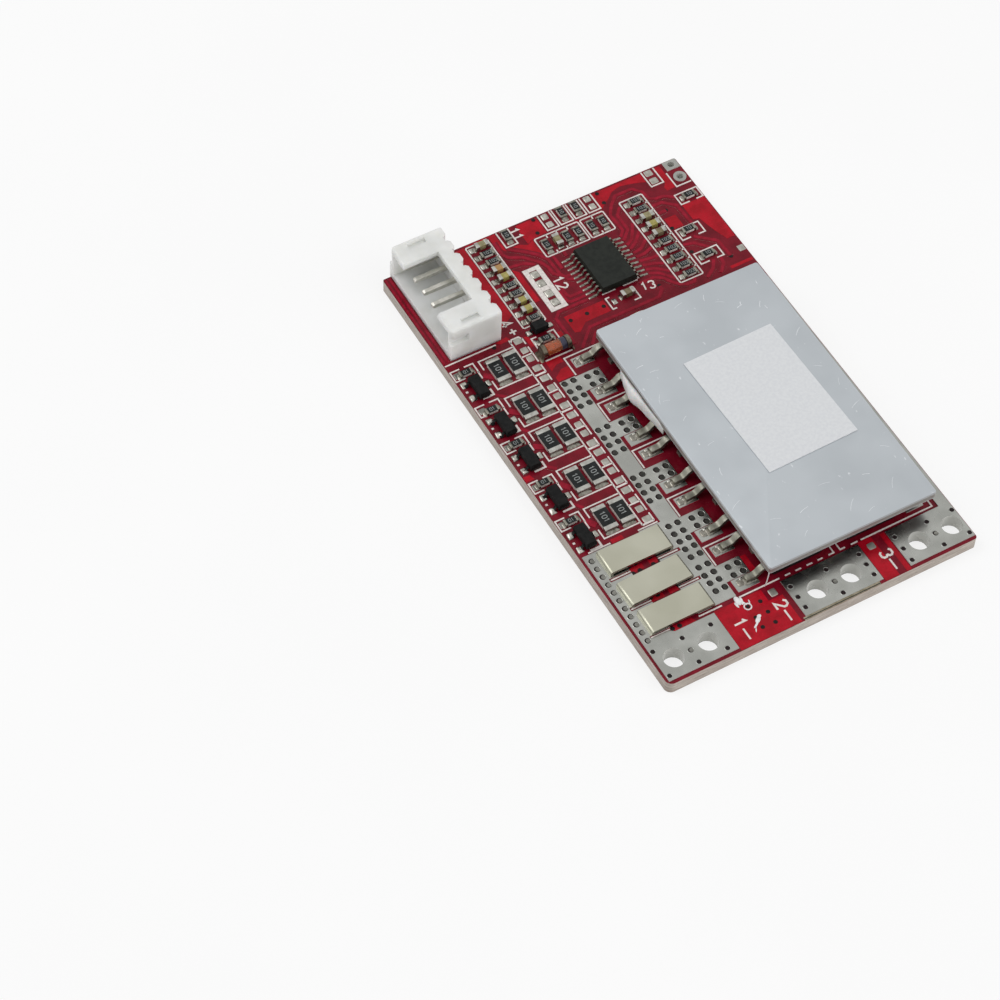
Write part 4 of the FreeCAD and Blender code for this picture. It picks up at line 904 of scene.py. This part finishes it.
for step, values in enumerate(TRACES):
    lift = step * LAYER_STEP
    traces.strip(on_plan(values), TRACE_WIDTH + 2 * TRACE_GAP, ROOT, POUR_TOP + 0.001 + lift, 1)
    traces.strip(on_plan(values), TRACE_WIDTH, ROOT, TRACE_TOP - lift / 10)
for values in WIDE_TRACES:
    traces.strip(on_plan(values), WIDE_TRACE_WIDTH, ROOT, TRACE_TOP)
for x, width in EDGE_TRACES:
    traces.strip(on_plan((x, 47.4, x, 61.0)), width, ROOT, TRACE_TOP)
piece("traces_under_lacquer", traces, ("red_over_traces", "red_lacquer"))


# Small plated holes
def row(x, *places):
    return [(x, y) for y in places]


PAD_VIAS = (
    row(0.7, 4.3, 0.98)
    + row(4.25, 4.28, 0.98)
    + row(7.7, 4.28, 0.98)
    + row(17.5, 4.28, 2.8, 1.35)
    + row(21.95, 4.28, 0.98)
    + row(26.05, 4.25, 2.8, 1.35)
    + row(30.6, 4.28, 2.6, 0.95)
    + row(34.7, 4.28, 0.95)
    + row(37.95, 4.28, 0.95)
)
FILLED_VIAS = ((4.25, 2.6), (21.95, 2.6), (34.7, 2.6))
STRIP_VIAS = row(0.95, *[5.7 + 1.13 * step for step in range(11)])
BUS_VIAS = []
BUS_ROWS = (
    (35.2, 36.35, 37.45, 38.65), (28.0, 29.15, 30.25, 31.45), (20.75, 21.95, 23.05, 24.15),
    (12.45, 13.6, 14.7, 15.8, 16.95), (7.55, 8.68, 9.75, 10.93),
)
for rows in BUS_ROWS:
    BUS_VIAS += row(10.38, *rows) + row(11.5, *rows)
for rows in ((38.35, 37.15), (31.1, 30.0), (23.9, 22.8), (16.7, 15.6), (9.5, 8.35)):
    BUS_VIAS += row(13.12, *rows) + row(14.28, *rows)
MASK_VIAS = row(12.3, 4.35, 2.8, 1.45) + row(13.8, 4.28, 2.8, 1.35) + [
    (15.54, 46.1), (17.65, 46.1), (19.8, 46.1), (19.25, 60.8), (18.7, 58.9), (27.65, 60.75), (27.65, 59.2),
    (26.8, 45.7), (33.3, 54.85), (32.5, 52.2), (32.6, 48.15), (36.2, 45.5), (6.15, 46.8), (3.55, 26.8),
    (3.4, 21.2),
]
SHUNT_VIAS = (
    (4.0, 13.65), (4.85, 13.65), (6.5, 13.65), (7.4, 13.7), (4.0, 14.6), (4.85, 14.65), (6.6, 14.6),
    (7.5, 14.6), (4.0, 10.15), (4.85, 10.15), (7.4, 10.15), (4.0, 5.8), (4.85, 5.75),
)
vias = Sketch()


def drill(places, base, radius, ring=0.0, crescent=None):
    """Small plated holes: a disc of painted shadow for each hole's dark inside; where crescent is given, a
    lighter disc of tin or of paler painted shade sits off-centre over it, leaving a crescent of painted
    shade; and a low rim.
    """
    for x, y in on_plan([value for place in places for value in place]):
        # Painted shadow disc for the hole's inside, then an off-centre disc that leaves a crescent of
        # painted shade
        vias.round_disc(x, y, base - 0.01, base + 0.006, radius + 0.02, HOLE_SHADOW_FLOOR)
        if crescent:
            shift = radius * 0.2
            vias.round_disc(x + shift, y - shift * 0.4, base - 0.01, base + 0.01, radius * 0.8, crescent)
        if ring:
            vias.rim(x, y, base - SINK, radius, radius + ring, RING_HEIGHT)


HOLE_SHADOW_FLOOR, HOLE_SHADE, HOLE_FILLED = 1, 2, 3
drill(PAD_VIAS, PAD_TOP, VIA_RADIUS, 0.09)
drill(FILLED_VIAS, PAD_TOP, VIA_RADIUS + 0.04, 0.09, HOLE_FILLED)
drill(STRIP_VIAS, PAD_TOP, BUS_VIA_RADIUS - 0.03, 0.1, HOLE_FILLED)
drill(BUS_VIAS, PAD_TOP, BUS_VIA_RADIUS, 0.09, HOLE_SHADE)
drill(MASK_VIAS, POUR_TOP, VIA_RADIUS - 0.03)
drill(SHUNT_VIAS, POUR_TOP, VIA_RADIUS)
piece("small_plated_holes", vias, ("hot_tin", "hole_dark", "hole_shade", "hole_grey"))


# White print
printing = Sketch()


def line(*values, width=PRINT_WIDTH):
    """A printed line through points given as x and y in turn."""
    printing.strip(on_plan(values), width, ROOT, TOP + PRINT_HEIGHT)


def frame_box(x0, y0, x1, y1):
    """A closed frame whose corners are cut a little, as printed corners are."""
    a, b, c, d = x0 + CORNER_CUT, x1 - CORNER_CUT, y0 + CORNER_CUT, y1 - CORNER_CUT
    line(a, y0, b, y0, x1, c, x1, d, b, y1, a, y1, x0, d, x0, c, a, y0)


def bracket(x, y0, y1, reach):
    """An upright line from y0 to y1 whose ends turn towards reach."""
    line(reach, y0, x, y0, x, y1, reach, y1)


def mark(text, x, y, height, turn=-90.0):
    printing.digits(text, x * PLAN, y * PLAN, POUR_TOP, height, height * 0.18, 0, turn)


CORNER_CUT = 0.12
# Numbered minus marks beside the power pads
for number, x, y in (("1", 10.5, 3.0), ("2", 15.5, 2.9), ("3", 28.7, 3.0)):
    line(x - 0.1, y - 2.2, x - 0.1, y - 0.75, width=0.2)
    mark(number, x, y, 1.3)
mark("+", 9.1, 47.75, 1.2)
mark("4", 9.0, 49.1, 1.15)
mark("11", 16.45, 59.9, 1.1)
mark("12", 17.25, 51.3, 1.15)
mark("13", 25.7, 46.3, 1.0, -10)

# Front line of the heat plate's outline, dashed at the left
FRONT_DASHES = (
    (7.2, 10.0), (12.1, 17.1), (17.8, 18.45), (19.1, 19.8), (20.5, 21.2), (21.85, 22.5), (26.05, 26.9),
)
for start, end in FRONT_DASHES:
    line(start, 5.75, end, 5.75)
line(23.25, 5.75, 23.9, 5.75, 23.9, 7.2)
line(25.3, 5.75, 24.7, 5.75, 24.7, 7.2)
line(27.3, 5.75, 36.4, 5.75, 36.4, 7.2)

# Lines between the shunts and the end of the shunt zone
line(1.46, 5.88, 3.75, 5.86, width=0.12)
for x0, x1, y in ((1.5, 3.9, 9.85), (7.3, 9.7, 9.85), (1.5, 3.9, 14.0), (7.3, 9.7, 14.0)):
    line(x0, y, x1, y)
for x0, x1 in ((1.2, 3.9), (7.3, 9.7)):
    line(x0, 18.1, x1, 18.1)
line(0.1, 47.05, 6.5, 47.05)

# Brackets beside the left transistors' gate leads
for top in (41.8, 34.6, 27.35, 20.1, 12.9):
    line(16.6, top, 12.15, top, 12.15, top - 2.6)

# Test pads: frames of two, joined by cross lines
for last, top in ((41.2, 46.9), (35.5, 41.2), (29.8, 35.5), (24.0, 29.8), (18.45, 24.0)):
    line(8.07, last, 8.07, top)
    line(8.07, last, 9.5, last, width=HEAVY_PRINT_WIDTH)
    middle = (last + top) / 2 + 0.1
    line(8.07, middle, 9.5, middle)
    for low, high in ((last, last + 1.1), (middle - 1.35, middle + 1.0), (top - 1.3, top - 0.35)):
        line(9.5, low, 9.5, high)
line(8.07, 46.4, 8.35, 46.85, 9.25, 46.85, 9.5, 46.4)

# Frames of the balance channels: front line, small transistor and gate resistor of each
CHANNELS = (
    (41.55, 42.8, 45.3), (35.75, 37.15, 39.75), (30.5, 31.6, 34.15), (24.6, 25.6, 28.15),
    (18.9, 19.9, 22.55),
)
for low, centre, resistor in CHANNELS:
    line(3.65, low + 1.3, 3.65, low, 8.05, low)
    line(3.65, low + 3.05, 3.65, low + 4.35, 8.05, low + 4.35)
    line(0.5, centre - 0.12, 0.5, centre + 0.12, width=0.26)
    line(2.95, centre + 0.9, 2.95, centre + 2.0)
    line(1.6, centre - 1.6, 2.95, centre - 1.6, 2.95, centre - 0.75, width=HEAVY_PRINT_WIDTH)
    bracket(0.15, resistor - 0.72, resistor + 0.72, 1.3)
    line(1.9, resistor + 0.72, 3.0, resistor + 0.72, 3.0, resistor - 0.72)

# Column beside the socket
frame_box(10.35, 47.55, 13.2, 60.75)
SOCKET_COLUMN_PITCH = 1.313
for step in range(1, 10):
    y = 60.75 - SOCKET_COLUMN_PITCH * step
    line(12.95, y, 13.2, y)

# Column at the right of the controller
frame_box(29.1, 44.85, 32.1, 58.3)
RIGHT_COLUMN_PITCH = 1.335
for step in range(1, 10):
    y = 58.3 - RIGHT_COLUMN_PITCH * step
    line(31.8, y, 32.1, y)

# Chips along the back edge
BACK_CHIPS = ((14.5, 16.0), (19.9, 21.4), (21.7, 23.3), (23.6, 25.05), (25.4, 26.9), (33.7, 35.3))
for x0, x1 in BACK_CHIPS:
    line(x0, 61.1, x0, 58.65, x1, 58.65, x1, 61.1)

# Row behind the controller
frame_box(17.85, 55.25, 23.5, 58.2)
for x in (19.35, 20.65, 22.0):
    line(x, 55.25, x, 55.7)
    line(x, 57.7, x, 58.2)
frame_box(23.8, 55.25, 26.85, 58.2)
line(25.3, 55.25, 25.3, 55.7)
line(25.3, 57.7, 25.3, 58.2)

# Four solder pads left of the controller, and the controller's own marks
for x in (14.57, 16.13):
    line(x, 48.1, x, 54.8, width=BOX_PRINT_WIDTH)
for y, width in ((48.36, 0.5), (51.45, 0.62), (54.54, 0.5)):
    line(14.88, y, 15.82, y, width=width)
line(20.5, 47.6, 22.2, 47.6)
line(23.2, 47.6, 25.1, 47.6)
line(25.3, 47.7, 25.3, 47.95, width=0.26)
bracket(20.5, 45.2, 46.9, 21.0)
bracket(24.1, 45.2, 46.9, 23.3)

# Single chips near the right edge, and the sensor pads' bracket
for x0, y0, x1, y1 in ((32.6, 50.05, 35.6, 51.7), (32.6, 46.05, 35.6, 47.7), (35.3, 54.7, 38.2, 56.25)):
    line(x0 + 1.1, y0, x0, y0, x0, y1, x1, y1, x1, y0, x1 - 0.9, y0)
line(36.25, 59.6, 36.25, 57.3, 38.2, 57.3)

# Glass diode, link resistor and clamp diode
line(10.2, 42.45, 13.6, 42.45)
bracket(10.35, 44.45, 45.9, 11.0)
bracket(13.2, 44.45, 45.9, 12.4)
piece("white_print", printing, ("print_white",))


# Small tinned pads and the solder on them
pads = Sketch()
TIN, BRIGHT, GREY, DULL, FLAT = range(5)
FLAT_HEIGHT = 0.035
FOOT_BASE = PAD_TOP - 0.02
LEAD_REACH = 2.75


def pad(x, y, length, width, height, skin, unevenness):
    pads.pool(x * PLAN, y * PLAN, length, width, height, ROOT, skin, unevenness, x + y)


# Test pads, in fours: wide, small, small, wide
for start in (46.4, 40.5, 34.7, 29.0, 23.25):
    for drop, wide in ((0.0, 1.0), (1.5, 0.85), (2.8, 0.85), (4.3, 1.0)):
        pad(8.93, start - drop, wide * PLAN, 0.85, FLAT_HEIGHT, FLAT, 0.05)

for x, y, width in ((15.55, 4.6, 0.85), (27.85, 4.55, 1.0)):
    pad(x, y, width, 0.95, FLAT_HEIGHT, FLAT, 0.1)

# Pads of the small transistors and their gate resistors
for _, centre, resistor in CHANNELS:
    for dy in (-1.0, 1.0):
        pad(0.68, centre + dy, 0.75, 0.85, 0.18, BRIGHT, 0.8)
    pad(3.15, centre, 0.6, 0.85, 0.18, BRIGHT, 0.8)
    pad(0.72, resistor, 0.8, 0.85, 0.04, GREY, 0.3)

# Solder left of the chips in both columns
for step in range(10):
    skin = DULL if step % 2 else BRIGHT
    pad(10.76, 60.1 - SOCKET_COLUMN_PITCH * step, 0.6, 0.78, 0.14, skin, 0.9)
    skin = DULL if step % 3 else BRIGHT
    pad(29.62, 57.55 - RIGHT_COLUMN_PITCH * step, 0.58, 0.74, 0.12, skin, 0.9)

# Empty places with solder only
for x in (20.6, 26.2):
    for y in (60.6, 59.35):
        pad(x, y, 0.85, 0.85, 0.12, BRIGHT, 0.4)
for y in (60.62, 59.35):
    pad(34.45, y, 0.95, 0.9, FLAT_HEIGHT, FLAT, 0.1)
for y in (53.7, 52.3, 50.6, 49.2):
    pad(15.35, y, 0.98, 1.02, 0.15, BRIGHT, 0.4)
for x in (18.62, 20.0, 21.33, 22.75, 24.55, 26.02):
    pad(x, 55.85, 0.75, 0.55, 0.12, BRIGHT, 0.7)
for x, y in ((33.1, 50.85), (33.1, 46.85), (35.85, 55.5)):
    pad(x, y, 0.55, 0.75, 0.12, BRIGHT, 0.7)
pads.block((36.72, 44.65, ROOT), (37.5, 45.5, TOP + 0.03), 0.01, FLAT)
pad(21.2, 46.1, 0.6, 0.85, 0.12, BRIGHT, 0.7)
pad(10.55, 45.2, 0.45, 0.8, 0.1, BRIGHT, 0.7)

# Pads under the controller's leads
for low, high in solids("controller_leads"):
    middle = (low + high) / 2
    outward = 1 if middle.x > BOARD_WIDTH * 0.59 else -1
    tip = high.x if outward > 0 else low.x
    pads.pool(tip + outward * 0.08, middle.y, 1.0, 0.28, 0.05, ROOT, DULL, 0.3, middle.y)

# Solder at the feet of the power transistors
for number in TRANSISTORS:
    outward, face_x, middle = transistor_face(number)
    tip = face_x + outward * LEAD_REACH
    for y in (middle - LEAD_PITCH, middle + LEAD_PITCH):
        pads.pool(tip - outward * 0.45, y, 1.7, 1.14, 0.13, FOOT_BASE, DULL, 0.4, y)
        if outward < 0:
            pads.pool(tip - 0.5, y, 0.9, 0.95, 0.1, FOOT_BASE, DULL, 0.3, y + 3, 0, 0.3)
            pads.pool(tip - 0.25, y + 0.35, 0.5, 0.3, 0.16, FOOT_BASE, BRIGHT, 0.4, y + 5)

# The pack pad reaches further back in front of the first shunt's left foot
pads.prism(((1.35, 5.25), (3.95, 5.25), (3.5, 5.6), (1.35, 5.66)), ROOT, PAD_TOP, TIN)

# Solder at the clamp diode's leads
for low, high in solids("clamp_diode"):
    if high.z < TOP + 0.7:
        middle = (low + high) / 2
        outward = 1 if middle.x > 11.6 else -1
        pads.pool(middle.x + outward * 0.15, middle.y, 0.75, 0.7, 0.2, ROOT, BRIGHT, 0.8, middle.x)

pad_skins = ("hot_tin", "solder", "hole_grey", "dull_solder", "pad_tin")
piece("small_pads_and_solder", pads, pad_skins, (), 60)

# Where copper shows red beside the source pads, and bare fibre in front of the load pad
SEAM = 0.09
seams = Sketch()
for low, high in solids("lead_pads"):
    if high.x < BOARD_WIDTH / 2:
        outline = rectangle(low.x - SEAM, low.y - SEAM, high.x, high.y + SEAM)
        seams.prism(list(zip(outline[::2], outline[1::2])), ROOT, POUR_TOP + 0.004)
seams.prism(on_plan((16.6, 0.02, 26.1, 0.02, 26.1, 0.4, 16.6, 0.4)), ROOT, POUR_TOP, 1)
seams.prism(on_plan((16.6, 0.12, 26.1, 0.1, 26.1, 0.2, 16.6, 0.22)), ROOT, TRACE_TOP, 2)
piece("copper_seams", seams, ("red_over_traces", "bare_fibre", "hole_shade"))

# Silicone smears left by hand on the lacquer
smears = Sketch()


def drops(base, *places):
    """Uneven drops, from x, y, length, width, height, seed and heading."""
    for x, y, length, width, height, seed, heading in places:
        smears.pool(x, y, length, width, height, base, 0, 0.9, seed, heading, 0.5)


drops(
    ROOT,
    (11.5, 5.35, 0.6, 1.2, 0.12, 1.0, 0),
    (11.85, 5.15, 0.34, 1.0, 0.09, 6.0, -12),
    (11.15, 4.95, 0.26, 0.8, 0.07, 7.0, 8),
    (12.0, 4.75, 0.2, 0.6, 0.06, 8.0, 20),
)
smears.rim(12.06, 4.26, TOP + 0.01, 0.3, 0.46, 0.09)
drops(
    TOP,
    (12.5, 4.7, 0.55, 0.16, 0.08, 4.0, 75),
    (12.1, 2.4, 0.9, 0.5, 0.09, 3.0, 40),
    (12.45, 2.75, 0.5, 0.4, 0.08, 9.0, 10),
    (11.6, 1.95, 0.9, 0.24, 0.07, 2.0, 30),
    (11.3, 1.5, 0.7, 0.14, 0.06, 10.0, 62),
)
piece("silicone_smears", smears, ("silicone_smear",), (), 60)


# Underside: flush rings round the lead holes and sensor holes, and the socket's soldered legs
under = Sketch()
HOLE_ROW = 2.6
UNDER_TIN = -0.02
for x in (2.2, 6.3, 19.45, 23.55, 32.0, 36.1):
    under.rim(x, HOLE_ROW, UNDER_TIN, 1.14, 1.45, RING_HEIGHT)
for low, high in solids("socket_pins"):
    under.pool(high.x - 0.25, (low.y + high.y) / 2, 1.3, 1.3, UNDER_TIN, SINK, 0, 0.0, 0.0)
for y in (59.3, 57.3):
    under.rim(36.65, y, UNDER_TIN, 0.39, 0.8, RING_HEIGHT)
piece("underside_rings", under, ("hot_tin",))


# Floor and light
FLOOR_HALF = 0.6
FLOOR_DROP = 0.00005
FLOOR_WHITE = 0.78
WORLD_STRENGTH = 0.47


def make_floor():
    mesh = bpy.data.meshes.new("floor")
    half = FLOOR_HALF
    corners = [(x, y, -FLOOR_DROP) for x, y in ((-half, -half), (half, -half), (half, half), (-half, half))]
    mesh.from_pydata(corners, [], [(0, 1, 2, 3)])
    floor = bpy.data.objects.new("floor", mesh)
    bpy.context.scene.collection.objects.link(floor)
    pale = skins["pale_floor"]
    mesh.materials.append(pale.material)
    tree = pale.tree
    share = maths(tree, "MULTIPLY", direct_share(tree), FLOOR_WHITE)
    glow = add(tree, "Emission", {"Color": (1, 1, 1, 1), "Strength": 1.0})
    blend = add(tree, "MixShader", {"Fac": share, 1: pale.shader.outputs["BSDF"], 2: glow})
    feed(tree.nodes["Material Output"], {"Surface": blend})


def make_world():
    world = bpy.data.worlds.new("studio")
    bpy.context.scene.world = world
    world.use_nodes = True
    tree = world.node_tree
    values = {"Value": direct_share(tree), "To Min": WORLD_STRENGTH, "To Max": 1.0}
    feed(tree.nodes["Background"], {"Color": (1, 1, 1, 1), "Strength": add(tree, "MapRange", values)})


def make_lamp(name, place, size, energy):
    """A square lamp that faces the origin."""
    lamp = bpy.data.objects.new(name, bpy.data.lights.new(name, "AREA"))
    bpy.context.scene.collection.objects.link(lamp)
    lamp.data.shape = "RECTANGLE"
    lamp.data.size = lamp.data.size_y = size
    lamp.data.energy = energy
    lamp.location = place
    lamp.rotation_euler = (-Vector(place)).to_track_quat("-Z", "Y").to_euler()
    return lamp


make_floor()
make_world()
make_lamp("key", (-0.25, 0.18, 0.45), 0.36, 1.1)
fill = make_lamp("fill", (0.3, -0.38, 0.3), 0.6, 1.8)
# The low lamp would show as a white sheet in the heat plate from behind
fill.visible_glossy = False
bpy.context.scene.view_settings.view_transform = "Standard"
